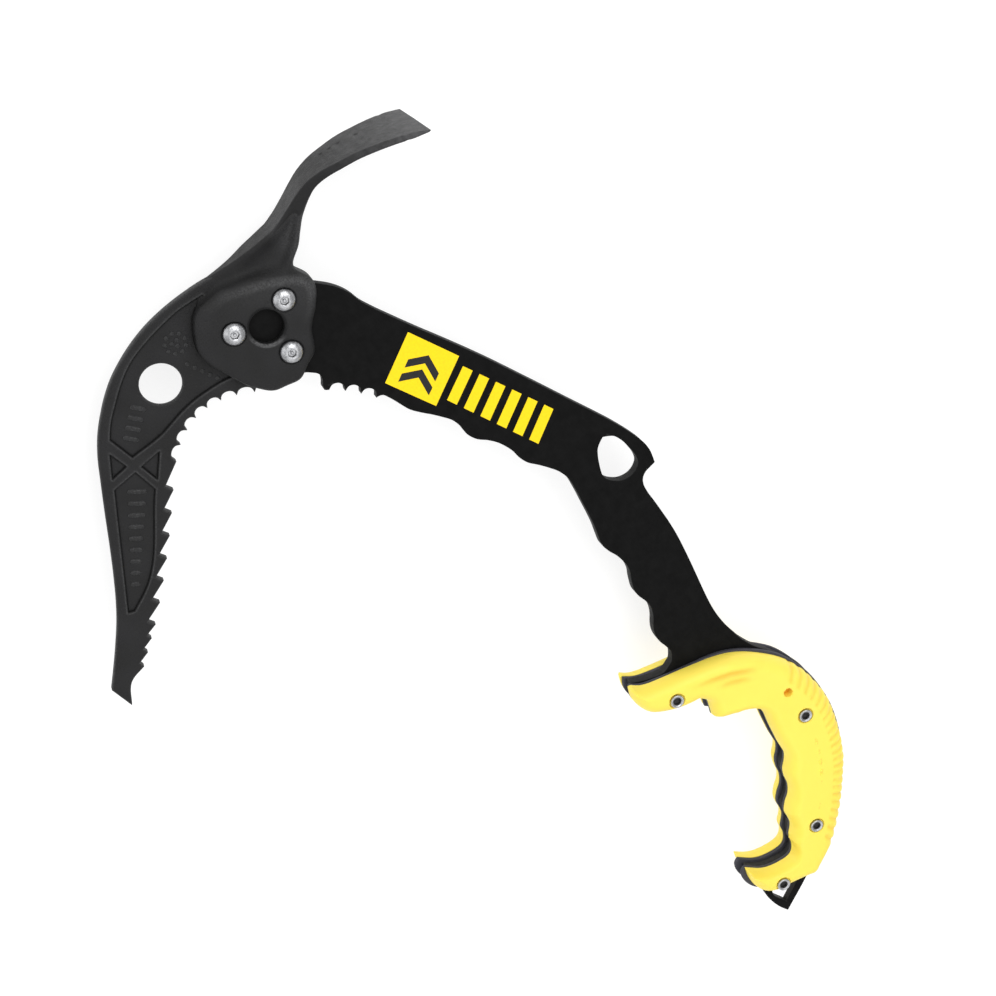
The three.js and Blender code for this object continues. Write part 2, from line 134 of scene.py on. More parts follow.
def face_loops(node, height, facing=1):
    """The outlines of a CAD node's flat faces at that height, longest first, as arrays of (x, y)."""
    mesh = welded(node)
    level = ORIGIN.z + height * MM
    flat = []
    for face in mesh.faces:
        if face.normal.z * facing > FLAT and abs(face.calc_center_median().z - level) < LEVEL_GAP:
            flat.append(face)
    among = set(flat)
    after = {}
    for face in flat:
        for loop in face.loops:
            if not any(other in among for other in loop.edge.link_faces if other is not face):
                after[loop.vert] = loop.link_loop_next.vert
    loops = []
    while after:
        start, vert = after.popitem()
        ring = [start]
        while vert is not start:
            ring.append(vert)
            vert = after.pop(vert)
        loops.append(in_plan(ring))
    mesh.free()
    return longest_first(loops)


def section_loops(node, height):
    """The outlines of a CAD node's cut at that height, longest first."""
    mesh = welded(node)
    everything = [*mesh.verts, *mesh.edges, *mesh.faces]
    level = Vector((0, 0, ORIGIN.z + height * MM))
    cut = bmesh.ops.bisect_plane(mesh, geom=everything, dist=CUT_WELD, plane_co=level,
                                 plane_no=(0, 0, 1), clear_outer=True)["geom_cut"]
    left = [piece for piece in cut if isinstance(piece, bmesh.types.BMEdge)]
    loops = []
    while left:
        edge = left.pop()
        start, vert = edge.verts
        ring = [start]
        while vert is not start:
            ring.append(vert)
            edge = next(other for other in vert.link_edges if other in left)
            left.remove(edge)
            vert = edge.other_vert(vert)
        loops.append(in_plan(ring))
    mesh.free()
    return longest_first(loops)


def below(ring, limit):
    """The part of an outline with y under a limit, closed along it."""
    kept = []
    for a, b in zip(ring, np.roll(ring, -1, 0)):
        if a[1] < limit:
            kept.append(a)
        if (a[1] < limit) != (b[1] < limit):
            kept.append(a + (b - a) * (limit - a[1]) / (b[1] - a[1]))
    return np.array(kept)


def lengths(vectors):
    return np.linalg.norm(vectors, axis=-1)


def unit(vectors):
    return vectors / lengths(vectors)[..., None]


def left_of(vectors):
    """Each vector turned a quarter turn to its left."""
    return np.stack([-vectors[..., 1], vectors[..., 0]], -1)


def loop_length(ring):
    return lengths(np.roll(ring, -1, 0) - ring).sum()


def turning(ring):
    """How far the outline turns at each corner, in radians."""
    after = np.roll(ring, -1, 0) - ring
    before = ring - np.roll(ring, 1, 0)
    cross = before[:, 0] * after[:, 1] - before[:, 1] * after[:, 0]
    return np.abs(np.arctan2(cross, (before * after).sum(1)))


def hermite(t, a, slope_a, b, slope_b):
    """The place on a smooth curve from a to b, for t from 0 to 1."""
    return ((2 * t**3 - 3 * t**2 + 1) * a + (t**3 - 2 * t**2 + t) * slope_a
            + (3 * t**2 - 2 * t**3) * b + (t**3 - t**2) * slope_b)


def fine_loop(ring, spacing):
    """The outline with points about that far apart: a smooth curve through them between sharp corners."""
    ring = ring[turning(ring) > STRAIGHT]
    sharp = turning(ring) > SHARP_TURN
    count = len(ring)
    fine = []
    for i in range(count):
        a, b = ring[i], ring[(i + 1) % count]
        before = ring[i - 1] if not sharp[i] else 2 * a - b
        after = ring[(i + 2) % count] if not sharp[(i + 1) % count] else 2 * b - a
        length = lengths(b - a)
        steps = max(1, round(length / spacing))
        t = (np.arange(steps) / steps)[:, None]
        slope_a = end_slope(before, a, b) * length
        slope_b = end_slope(a, b, after) * length
        fine.append(hermite(t, a, slope_a, b, slope_b))
    return np.vstack(fine)


def end_slope(before, point, after):
    """The direction of a curve at a point, nearer to that of the shorter side."""
    back, ahead = lengths(point - before), lengths(after - point)
    return unit((point - before) / back * ahead + (after - point) / ahead * back)


def circle(centre, radius, count=48):
    turn = np.linspace(0, 2 * math.pi, count, endpoint=False)
    return np.stack([centre[0] + radius * np.cos(turn), centre[1] + radius * np.sin(turn)], 1)


# ---- distances

CHUNK = 2000  # points measured at a time
TINY = 1e-12


def to_segments(points, starts, ends):
    """The distance from each point to the nearest of the straight pieces, and that piece's number."""
    along = ends - starts
    square = np.maximum((along**2).sum(1), TINY)
    best = np.empty(len(points))
    nearest = np.empty(len(points), int)
    for low in range(0, len(points), CHUNK):
        part = points[low:low + CHUNK, None]
        t = np.clip(((part - starts) * along).sum(2) / square, 0, 1)
        gap = lengths(part - starts - t[..., None] * along)
        nearest[low:low + CHUNK] = gap.argmin(1)
        best[low:low + CHUNK] = gap.min(1)
    return best, nearest


def to_loops(points, loops):
    starts = np.vstack(loops)
    ends = np.vstack([np.roll(ring, -1, 0) for ring in loops])
    return to_segments(points, starts, ends)[0]


def to_line(points, line):
    """The distance from each point to an open line, and how far along it the nearest place is, 0 to 1."""
    line = np.array(line, float)
    gap, nearest = to_segments(points, line[:-1], line[1:])
    along = line[1:] - line[:-1]
    start = line[:-1][nearest]
    part = np.clip(((points - start) * along[nearest]).sum(1) / (along[nearest]**2).sum(1), 0, 1)
    return gap, (nearest + part) / (len(line) - 1)


def within(points, ring):
    """Which points are inside the outline."""
    inside = np.zeros(len(points), bool)
    x, y = points.T
    for a, b in zip(ring, np.roll(ring, -1, 0)):
        if a[1] != b[1]:
            crosses = (a[1] > y) != (b[1] > y)
            inside ^= crosses & (x < (b[0] - a[0]) * (y - a[1]) / (b[1] - a[1]) + a[0])
    return inside


def signed(points, loops):
    """The distance to the first outline less the others, positive inside."""
    inside = within(points, loops[0])
    for hole in loops[1:]:
        inside &= ~within(points, hole)
    return np.where(inside, 1, -1) * to_loops(points, loops)


def away_from(points, centre):
    return lengths(points - centre)


def bell(value, centre, width):
    """1 at the centre, and less to both sides of it."""
    return np.exp(-((value - centre) / width)**2)


def ease(value, low, high):
    t = np.clip((value - low) / (high - low), 0, 1)
    return t * t * (3 - 2 * t)


def window(value, low, high, soft):
    """1 between two values, and 0 beyond them."""
    return ease(value, low, low + soft) * (1 - ease(value, high - soft, high))


# ---- pieces from outlines and heights

def new_piece(name, vertices, faces, finish, nodes, smooth_below=40):
    mesh = bpy.data.meshes.new(name)
    mesh.from_pydata(to_row(vertices), [], faces)
    mesh.shade_smooth()
    mesh.set_sharp_from_angle(angle=math.radians(smooth_below))
    mesh.materials.append(finish)
    piece = bpy.data.objects.new(name, mesh)
    bpy.context.scene.collection.objects.link(piece)
    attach(piece, "root")
    if nodes:
        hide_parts(*nodes)
    return piece


def spread(points, gap):
    """The points with any that share a square of that width with an earlier one left out."""
    cells = np.floor(points / gap).astype(int)
    first = np.unique(cells, axis=0, return_index=True)[1]
    return points[np.sort(first)]


ROW_CLEAR = 0.93  # a row's least distance from the edge, as a share of its offset
ROW_PITCH = 0.87  # from one row of the even grid to the next, as a share of its spacing
GRID_CLEAR = 0.45  # from the last row to the even grid, as a share of its spacing


def left_normals(ring):
    return unit(left_of(np.roll(ring, -1, 0) - np.roll(ring, 1, 0)))


def fill_points(loops, offsets, spacing):
    """Points inside the outlines: rows that follow the edge at each offset, then an even grid."""
    rows = []
    for ring in loops:
        for normal in (left_normals(ring), -left_normals(ring)):
            for offset in offsets:
                row = ring + offset * normal
                rows.append(row[signed(row, loops) > ROW_CLEAR * offset])
    low, high = loops[0].min(0), loops[0].max(0)
    ys = np.arange(low[1], high[1], spacing * ROW_PITCH)
    xs = np.arange(low[0], high[0], spacing)
    grid = np.array([(x + spacing / 2 * (j % 2), y) for j, y in enumerate(ys) for x in xs])
    grid = grid[signed(grid, loops) > offsets[-1] + GRID_CLEAR * spacing]
    return rows + [grid]


CLOSEST = 0.13  # below this, two points of a plate's mesh are one
EDGE_CLEAR = 0.05  # a distance from an edge at which a point is clearly inside or outside
PLAN_WELD = 1e-5


def triangulate(loops, inner):
    """Places in plan and triangles between them, inside the first outline and outside the others."""
    links = []
    first = 0
    for ring in loops:
        links += [(first + i, first + (i + 1) % len(ring)) for i in range(len(ring))]
        first += len(ring)
    given = [Vector(point) for point in np.vstack([*loops, inner])]
    flat, _, triangles, _, _, _ = delaunay_2d_cdt(given, links, [], 0, PLAN_WELD, False)
    flat = np.array([tuple(point) for point in flat])
    triangles = np.array([face for face in triangles if len(face) == 3])
    triangles = triangles[signed(flat[triangles].mean(1), loops) > 0]
    corners = flat[triangles]
    cross = np.cross(corners[:, 1] - corners[:, 0], corners[:, 2] - corners[:, 0])
    triangles[cross < 0] = triangles[cross < 0][:, ::-1]
    return flat, triangles


def relief(name, loops, front, back, finish, nodes, offsets, spacing, extra=(), smooth_below=40):
    """A closed plate inside the first outline and outside the others, and its places in plan.

    front and back give heights.
    """
    inner = np.vstack(fill_points(loops, offsets, spacing) + list(extra))
    inner = spread(inner[signed(inner, loops) > EDGE_CLEAR], CLOSEST)
    flat, triangles = triangulate(loops, inner)
    sides = {}
    for a, b, c in triangles:
        sides.update({(a, b): True, (b, c): True, (c, a): True})
    walls = [(a, a + len(flat), b + len(flat), b) for a, b in sides if (b, a) not in sides]
    vertices = np.vstack([
        np.column_stack([flat, front(flat)]),
        np.column_stack([flat, back(flat)]),
    ])
    faces = [tuple(face) for face in triangles]
    faces += [tuple(int(v) + len(flat) for v in face[::-1]) for face in triangles]
    return new_piece(name, vertices, faces + walls, finish, nodes, smooth_below), flat


def set_value(piece, name, values):
    """Give each vertex of a piece a number, for its material to read."""
    attribute = piece.data.attributes.new(name, "FLOAT", "POINT")
    attribute.data.foreach_set("value", np.asarray(values, np.float32))


def rounded(edge, radius, drop):
    """How far a face with a round edge lies below its flat, at a distance from the edge."""
    inset = 1 - np.clip(edge / radius, 0, 1)
    return drop * (1 - np.sqrt(np.maximum(1 - inset**2, 0)))


def round_offsets(radius, steps):
    """Offsets from the edge that are evenly spaced round a quarter circle of that radius."""
    turns = np.linspace(0, math.pi / 2, steps + 1)[1:]
    return [radius * (1 - math.cos(turn)) for turn in turns]


# ---- materials

# Colours are linear, noise scales are waves per metre, and the depths of bumps are in millimetres.


def node(tree, kind, *values, **named):
    """A shader node. values go to its first sockets, and named ones to its settings and sockets."""
    made = tree.nodes.new(kind)
    for key, value in [*enumerate(values), *named.items()]:
        if isinstance(key, str) and hasattr(made, key):
            setattr(made, key, value)
        elif isinstance(value, bpy.types.NodeSocket):
            tree.links.new(value, made.inputs[key])
        else:
            made.inputs[key].default_value = value
    return made


def ramp(tree, factor, stops):
    made = node(tree, "ShaderNodeValToRGB", Fac=factor)
    for _ in stops[2:]:
        made.color_ramp.elements.new(0.5)
    for element, (place, colour) in zip(made.color_ramp.elements, stops):
        element.position = place
        element.color = colour if len(colour) == 4 else (*colour, 1)
    return made.outputs["Color"]


def grey(value):
    return (value, value, value, 1)


def object_place(tree):
    return node(tree, "ShaderNodeTexCoord").outputs["Object"]


def attribute(tree, name):
    return node(tree, "ShaderNodeAttribute", attribute_name=name).outputs["Fac"]


def noise(tree, scale, detail=3, roughness=0.55):
    made = node(tree, "ShaderNodeTexNoise", Vector=object_place(tree), Scale=scale, Detail=detail,
                Roughness=roughness)
    return made.outputs["Fac"]


def streaks(tree, scale, detail, turn=0):
    """Noise that is drawn out along one direction, turned about the upright."""
    place = node(tree, "ShaderNodeMapping", Vector=object_place(tree), Rotation=(0, 0, turn), Scale=scale)
    made = node(tree, "ShaderNodeTexNoise", Vector=place.outputs["Vector"], Scale=1, Detail=detail)
    return made.outputs["Fac"]


def blend(tree, wave, dark, light):
    """From dark to light as noise goes from its usual low to its usual high."""
    return ramp(tree, wave, [(0.3, dark), (0.7, light)])


def material(name, metallic=0.0, specular=0.5):
    """A new material, its node tree and its shader."""
    made = bpy.data.materials.new(name)
    made.use_nodes = True
    shader = made.node_tree.nodes["Principled BSDF"]
    shader.inputs["Metallic"].default_value = metallic
    shader.inputs["Specular IOR Level"].default_value = specular
    return made, made.node_tree, shader


def wave_of(tree, source):
    """A socket as it is, or noise of a scale and a detail."""
    return source if isinstance(source, bpy.types.NodeSocket) else noise(tree, *source)


def dress(made, colour, roughness, *bumps):
    """Give a material its colour, a wave and the two roughnesses it goes between, and bumps, each a
    wave and a depth on top of the one before.
    """
    tree = made.node_tree
    shader = tree.nodes["Principled BSDF"]
    tree.links.new(colour, shader.inputs["Base Color"])
    wave, low, high = roughness
    rough = blend(tree, wave_of(tree, wave), grey(low), grey(high))
    tree.links.new(rough, shader.inputs["Roughness"])
    settings = {"Strength": 1.0}
    for wave, depth in bumps:
        settings.update(Height=wave_of(tree, wave), Distance=depth * MM)
        settings["Normal"] = node(tree, "ShaderNodeBump", **settings).outputs["Normal"]
    tree.links.new(settings["Normal"], shader.inputs["Normal"])
    return made


def share_between(tree, value, low, high):
    """0 where a value is at or below low, 1 where it is at or above high."""
    made = node(tree, "ShaderNodeMapRange", Value=value, **{"From Min": low, "From Max": high})
    return made.outputs["Result"]


def times(tree, first, second):
    return node(tree, "ShaderNodeMath", first, second, operation="MULTIPLY").outputs["Value"]


def worn_edges(tree, low, high):
    """1 on outside edges and 0 elsewhere, broken up by noise."""
    point = node(tree, "ShaderNodeNewGeometry").outputs["Pointiness"]
    patch = share_between(tree, noise(tree, 260, 6, 0.7), low=0.42, high=0.6)
    return times(tree, share_between(tree, point, low, high), patch)


def upright(tree):
    """1 on faces that look up or down and 0 on side walls."""
    normal = node(tree, "ShaderNodeNewGeometry").outputs["True Normal"]
    up = node(tree, "ShaderNodeSeparateXYZ", normal).outputs["Z"]
    size = node(tree, "ShaderNodeMath", up, operation="ABSOLUTE").outputs["Value"]
    return share_between(tree, size, low=0.45, high=0.8)


def mix_colour(tree, factor, first, second):
    made = node(tree, "ShaderNodeMix", data_type="RGBA")
    for socket, value in zip((made.inputs[0], made.inputs[6], made.inputs[7]), (factor, first, second)):
        if isinstance(value, bpy.types.NodeSocket):
            tree.links.new(value, socket)
        else:
            socket.default_value = value
    return made.outputs[2]


# From y 62 to 108 the adze grows lighter toward its cutting edge: paint worn thinner, and a painted sheen
# for the light's gradient on it.
ADZE_WEAR_AND_SHEEN_FROM, ADZE_WEAR_AND_SHEEN_TO = (place.y for place in to_row([(0, 62, 0), (0, 108, 0)]))
# Light grey for rubbed paint and for painted highlights.
RUBBED_PAINT_AND_HIGHLIGHT = (0.16, 0.16, 0.163, 1)
# Paint worn thin toward the adze's edge, which also serves as a painted sheen.
WORN_PAINT_AND_SHEEN = (0.075, 0.075, 0.077, 1)
# Near-black painted shade for the creases at the foot of the pick's pockets.
CREASE_SHADE_BLACK = (0.001, 0.001, 0.001, 1)


def forged_finish():
    """Satin black paint on a forged surface, with rubbed paint and painted highlights, and painted shade
    in its creases, where the piece says.
    """
    made, tree, _ = material("forged_black_paint", specular=0.24)
    paint = blend(tree, noise(tree, 90, 4), grey(0.010), (0.015, 0.015, 0.016))
    # Rubbed paint and painted highlights where the piece says, broken up by noise.
    patch = share_between(tree, noise(tree, 1300, 5, 0.7), low=0.28, high=0.66)
    paint = mix_colour(tree, times(tree, attribute(tree, "rub_and_highlight"), patch), paint, RUBBED_PAINT_AND_HIGHLIGHT)
    # Lighter toward the adze's cutting edge: worn paint and a painted sheen.
    ahead = node(tree, "ShaderNodeSeparateXYZ", object_place(tree)).outputs["Y"]
    thin_and_sheen = share_between(tree, ahead, ADZE_WEAR_AND_SHEEN_FROM, ADZE_WEAR_AND_SHEEN_TO)
    patch = share_between(tree, noise(tree, 320, 5, 0.65), low=0.2, high=0.6)
    paint = mix_colour(tree, times(tree, thin_and_sheen, patch), paint, WORN_PAINT_AND_SHEEN)
    # Painted shade darkens the creases that the piece marks.
    paint = mix_colour(tree, attribute(tree, "crease_shade"), paint, CREASE_SHADE_BLACK)
    return dress(made, paint, ((180, 5), 0.52, 0.66), ((1100, 4), 0.34), ((420, 3), 0.12))


def black_coating(tree, coat, walls, chips, worn):
    """The colour of a black coating, lighter on side walls and with chips on its edges."""
    wall = blend(tree, noise(tree, 500, 5), *walls)
    colour = mix_colour(tree, upright(tree), wall, coat)
    return mix_colour(tree, worn_edges(tree, *worn), colour, chips)


def plate_finish():
    """Matt black coating with a faint long grain and fine dust, lighter on the cut edges."""
    made, tree, _ = material("plate_black_coating", specular=0.05)
    grain = streaks(tree, scale=(40, 1200, 1200), detail=4)
    coat = ramp(tree, noise(tree, 220, 6, 0.6), [(0.35, grey(0.0048)), (0.7, grey(0.0075))])
    colour = black_coating(tree, coat, (grey(0.022), grey(0.034)), grey(0.07), worn=(0.54, 0.66))
    return dress(made, colour, (grain, 0.5, 0.62), ((2200, 3), 0.03), (grain, 0.02))


# Orange-yellow for painted shade in the grip's hollows.
SHADED_YELLOW = (0.74, 0.33, 0.012, 1)


def grip_finish():
    """Fine-grained yellow plastic, with painted shade in its hollows."""
    made, tree, shader = material("grip_yellow_plastic", specular=0.4)
    plain = mix_colour(tree, noise(tree, 60, 4), (1.0, 0.765, 0.096, 1), (1.0, 0.825, 0.112, 1))
    # Painted shade in the hollows.
    colour = mix_colour(tree, attribute(tree, "hollow_shade"), plain, SHADED_YELLOW)
    shader.inputs["Subsurface Weight"].default_value = 0.08
    shader.inputs["Subsurface Radius"].default_value = (0.002, 0.0012, 0.0004)
    return dress(made, colour, ((500, 4), 0.42, 0.55), ((2600, 3), 0.04), ((420, 3), 0.05))


def liner_finish():
    """Matt dark rubber with a blue cast."""
    made, tree, _ = material("liner_rubber", specular=0.3)
    colour = blend(tree, noise(tree, 400, 5), (0.044, 0.044, 0.053), (0.060, 0.060, 0.073))
    return dress(made, colour, ((700, 4), 0.6, 0.75), ((1800, 4), 0.06))


def bolt_finish():
    """Bright plated steel, mottled and with fine scratches."""
    made, tree, _ = material("bolt_plated_steel", metallic=1.0)
    scratch = streaks(tree, scale=(3500, 300, 3500), detail=5, turn=0.7)
    colour = ramp(tree, noise(tree, 900, 6, 0.7), [
        (0.32, (0.32, 0.325, 0.34)), (0.5, (0.46, 0.465, 0.48)), (0.66, (0.58, 0.585, 0.59))])
    return dress(made, colour, (scratch, 0.2, 0.4), (scratch, 0.06), ((500, 3), 0.14))


def socket_shade_finish():
    """Painted shade inside the sockets: a dull, nearly black metal."""
    made, tree, _ = material("socket_painted_shade", metallic=0.6, specular=0.2)
    colour = blend(tree, noise(tree, 900, 4), grey(0.02), grey(0.06))
    return dress(made, colour, ((600, 4), 0.45, 0.65), ((1500, 3), 0.05))


def spike_finish():
    """Black coating with chips on its edges, lighter on its side walls."""
    made, tree, _ = material("spike_black_coating", specular=0.06)
    coat = blend(tree, noise(tree, 300, 5), grey(0.003), grey(0.006))
    colour = black_coating(tree, coat, (grey(0.026), grey(0.040)), grey(0.10), worn=(0.55, 0.68))
    return dress(made, colour, ((260, 4), 0.38, 0.52), ((1200, 4), 0.06))


def print_finish(name, light, dark):
    """Screen-printed ink with a faint mottle."""
    made, tree, _ = material(name, specular=0.3)
    colour = ramp(tree, noise(tree, 800, 5), [(0.3, dark), (0.6, light)])
    return dress(made, colour, ((500, 3), 0.45, 0.6), ((2400, 3), 0.03))


def floor_finish():
    """A pale floor, lit a little from below so that shadows on it stay faint."""
    made, tree, shader = material("pale_floor", specular=0.1)
    colour = blend(tree, noise(tree, 3, 2), grey(0.34), grey(0.36))
    tree.links.new(colour, shader.inputs["Base Color"])
    shader.inputs["Roughness"].default_value = 0.9
    shader.inputs["Emission Color"].default_value = grey(1)
    shader.inputs["Emission Strength"].default_value = 0.74
    return made


FORGED = forged_finish()
PLATE = plate_finish()
GRIP = grip_finish()
LINER = liner_finish()
STEEL = bolt_finish()
SOCKET_SHADE = socket_shade_finish()
SPIKE = spike_finish()
YELLOW_INK = print_finish("ink_yellow", (1.0, 0.72, 0.0), (0.96, 0.66, 0.0))
BLACK_INK = print_finish("ink_black", (0.012, 0.012, 0.012), (0.008, 0.008, 0.008))

# ---- shaft plate

PLATE_TOP = 3.0
PLATE_EDGE = 0.5
OUTLINE_SPACING = 0.8
EDGE_STEPS = 3  # round the edge of the plate, a liner and the spike


def make_plate(name, node_name, half, edge, finish, outline, spacing):
    """A flat piece on the middle plane, with the CAD node's outline and rounded edges."""
    loops = [fine_loop(ring, outline) for ring in face_loops(node_name, half)]

    def top(points):
        return half - rounded(to_loops(points, loops), edge, edge)

    return relief(name, loops, top, lambda points: -top(points), finish, [node_name],
                  round_offsets(edge, EDGE_STEPS), spacing)[0]


def make_shaft():
    piece = make_plate("shaft", "shaft_plate", PLATE_TOP, PLATE_EDGE, PLATE,
                       outline=OUTLINE_SPACING, spacing=2.6)


make_shaft()

# ---- printed marks on the shaft

INK_TOP = 0.07
SQUARE = [(46.5, 48.1), (72.2, 59.9), (84.7, 36.7), (59.1, 24.9)]
BARS = [(77.5, 58.4), (129.0, 81.7), (138.7, 65.5), (85.9, 42.5)]
BAR_COUNT = 6
BAR_SHARE = 0.58  # of each bar and the gap after it
# The chevrons on the square, as shares of its sides.
PEAK_TOPS = (0.22, 0.5)
PEAK_SIDES = ((0.2, 0.5), (0.5, 0.8))
PEAK_FALL = 0.22
PEAK_THICKNESS = 0.16


def on_panel(corners, along, up):
    """A place on a four-cornered panel, from its upper left corner along its top and down its side."""
    a, b, c, d = (np.array(corner) for corner in corners)
    return (a * (1 - along) + b * along) * (1 - up) + (d * (1 - along) + c * along) * up


def ink(name, outlines, bottom, finish):
    """Flat printed shapes, each a convex outline, in one piece."""
    vertices, faces = [], []
    for ring in outlines:
        first = len(vertices)
        count = len(ring)
        vertices += [(x, y, bottom + INK_TOP) for x, y in ring] + [(x, y, bottom) for x, y in ring]
        faces.append(tuple(range(first + count - 1, first - 1, -1)))
        faces.append(tuple(range(first + count, first + 2 * count)))
        for i in range(count):
            j = (i + 1) % count
            faces.append((first + i, first + j, first + count + j, first + count + i))
    piece = new_piece(name, vertices, faces, finish, [])


def make_prints():
    ink("print_square", [SQUARE], PLATE_TOP, YELLOW_INK)
    peaks = []
    for top in PEAK_TOPS:
        for start, end in PEAK_SIDES:
            left = top + PEAK_FALL * (end <= 0.5)
            right = top + PEAK_FALL * (start >= 0.5)
            corners = ((start, left), (end, right), (end, right + PEAK_THICKNESS),
                       (start, left + PEAK_THICKNESS))
            peaks.append([on_panel(SQUARE, along, up) for along, up in corners])
    ink("print_peaks", peaks, PLATE_TOP + INK_TOP, BLACK_INK)
    bars = []
    for i in range(BAR_COUNT):
        start, end = i / BAR_COUNT, (i + BAR_SHARE) / BAR_COUNT
        corners = ((start, 0), (end, 0), (end, 1), (start, 1))
        bars.append([on_panel(BARS, along, up) for along, up in corners])
    ink("print_bars", bars, PLATE_TOP, YELLOW_INK)


make_prints()

# ---- pick

PICK_TOP = 2.5
BOSS_TOP = 8.5
POCKET_DEPTH = 1.1
PICK_MIDDLE = 1.0  # a height between the pockets of both faces
PICK_ROOT = 16  # y up to which the pick runs on inside the head
PICK_HOLE = (-8.4, -53.3)
PICK_EDGE = 1.3
PICK_DROP = 0.7  # of its rounded edge
POCKET_WALL = (-0.1, 0.4)  # from the pocket's floor outline, inwards
POCKET_STEPS = (0.4, 0.15, -0.1, -0.35, -0.65, -1.05)
# Painted shade: a dark line just inside each pocket's floor outline, at the foot of its wall, where shade
# falls.
CREASE_AT, CREASE_WIDTH, CREASE_SHADE = 0.15, 0.4, 0.9
# Plain raised marks on the pockets' floors. Rungs and a line of studs: the row's two ends and how
# many there are, and for rungs the first and last one's length across the row. Rings of studs: the
# centre, the radius and how many there are.
RUNGS = [((24, -94.5), (59, -125), 9, 8.6, 4), ((-6.5, -68.2), (2.5, -80), 4, 7, 7)]
STUDS = [((-8, -38.4), (6, -32.4), 5)]
STUD_RINGS = [((-18.9, -36.2), 4.8, 9), ((-18.9, -36.2), 1.6, 3)]
RUNG_WIDTH = 1.7
STUD_RADIUS = 0.9
MARK_HEIGHT = 0.6
MARK_STEPS = (-0.5, -0.25, -0.05, 0.25, 0.6)  # round a mark's edge, where its mesh is finer
RIM_HEIGHT = 0.22  # of the raised line round each pocket
RIM_OUT = 0.65
RIM_WIDTH = 0.4
ROUND_BELOW = 1  # the most that a round hole's radius varies
MARK_SOFT = 0.25
# How much the paint is lightened: painted highlights on the pockets' rims and a mark's sides, and rubbed
# paint on the pick's edge and a mark's top.
RIM_HIGHLIGHT, RIM_HIGHLIGHT_WIDTH = 0.3, 0.35
EDGE_RUB, EDGE_RUB_BAND = 0.25, (0.1, 0.9)
MARK_SIDE_HIGHLIGHT, MARK_TOP_RUB = 1.6, 0.12


def is_pocket(ring):
    """Whether an outline at the pockets' depth isn't that of the round hole."""
    return np.ptp(away_from(ring, ring.mean(0))) > ROUND_BELOW


def make_pick():
    outer, *inner = section_loops("head_forging", PICK_MIDDLE)
    hole = min(inner, key=lambda ring: lengths(ring.mean(0) - PICK_HOLE))
    loops = [fine_loop(below(outer, PICK_ROOT), OUTLINE_SPACING), fine_loop(hole, OUTLINE_SPACING)]
    floors = face_loops("head_forging", PICK_TOP - POCKET_DEPTH)
    pockets = [fine_loop(ring, spacing=0.6) for ring in floors if is_pocket(ring)]

    def top(points):
        height = PICK_TOP - rounded(to_loops(points, loops), PICK_EDGE, PICK_DROP)
        for ring in pockets:
            inside = signed(points, [ring])
            height -= POCKET_DEPTH * ease(inside, *POCKET_WALL)
            height += RIM_HEIGHT * bell(inside, -RIM_OUT, RIM_WIDTH)
        return height + MARK_HEIGHT * marks(points)

    # Painted highlights on the pockets' rims and the marks' sides; rubbed paint on the pick's edge and
    # the marks' tops.
    def rub_and_highlight(points):
        rims = sum(bell(signed(points, [ring]), -RIM_OUT, RIM_HIGHLIGHT_WIDTH) for ring in pockets)
        edge = 1 - ease(to_loops(points, loops), *EDGE_RUB_BAND)
        mark = marks(points)
        total = RIM_HIGHLIGHT * rims + EDGE_RUB * edge
        return np.clip(total + MARK_SIDE_HIGHLIGHT * mark * (1 - mark) + MARK_TOP_RUB * mark, 0, 1)

    # Painted shade along the foot of each pocket's wall.
    def crease_shade(points):
        return sum(bell(signed(points, [ring]), CREASE_AT, CREASE_WIDTH) for ring in pockets)

    steps = [ring + offset * loop_normals(ring) for ring in pockets for offset in POCKET_STEPS]
    for step in MARK_STEPS:
        steps += [circle(centre, STUD_RADIUS + step, count=14) for centre in stud_centres()]
        steps += [capsule(line, RUNG_WIDTH / 2 + step) for line in rung_lines()]
    piece, plan = relief("pick", loops, top, lambda points: -top(points), FORGED, ["head_forging"],
                         offsets=[0.15, 0.5, 0.9, 1.4], spacing=0.9, extra=steps, smooth_below=50)
    set_value(piece, "rub_and_highlight", np.tile(rub_and_highlight(plan), 2))
    set_value(piece, "crease_shade", np.tile(CREASE_SHADE * np.clip(crease_shade(plan), 0, 1), 2))


def row(start, end, count):
    return [np.array(start) + (np.array(end) - start) * i / (count - 1) for i in range(count)]


def stud_centres():
    rows = [row(*ends_and_count) for ends_and_count in STUDS]
    rings = [circle(*ring) for ring in STUD_RINGS]
    return np.vstack(rows + rings)


def rung_lines():
    """The two ends of each rung's middle line."""
    lines = []
    for start, end, count, first, last in RUNGS:
        across = left_of(unit(np.array(end) - start))
        for i, centre in enumerate(row(start, end, count)):
            reach = (first + (last - first) * i / (count - 1) - RUNG_WIDTH) / 2
            lines.append(np.array([centre - reach * across, centre + reach * across]))
    return lines


def capsule(line, radius):
    """A ring at an even distance round a straight piece."""
    ends = []
    for here, there in (line, line[::-1]):
        back = unit(here - there)
        side = left_of(back)
        turns = np.linspace(-math.pi / 2, math.pi / 2, 6)
        ends += [here + radius * (math.cos(turn) * back + math.sin(turn) * side) for turn in turns]
    return fine_loop(np.array(ends), spacing=0.7)


def marks(points):
    """1 on the plain rungs and studs inside the pockets and 0 elsewhere."""
    total = np.zeros(len(points))
    for centre in stud_centres():
        beyond = away_from(points, centre) - STUD_RADIUS
        total = np.maximum(total, 1 - ease(beyond, -MARK_SOFT, MARK_SOFT))
    for line in rung_lines():
        beyond = to_line(points, line)[0] - RUNG_WIDTH / 2
        total = np.maximum(total, 1 - ease(beyond, -MARK_SOFT, MARK_SOFT))
    return total


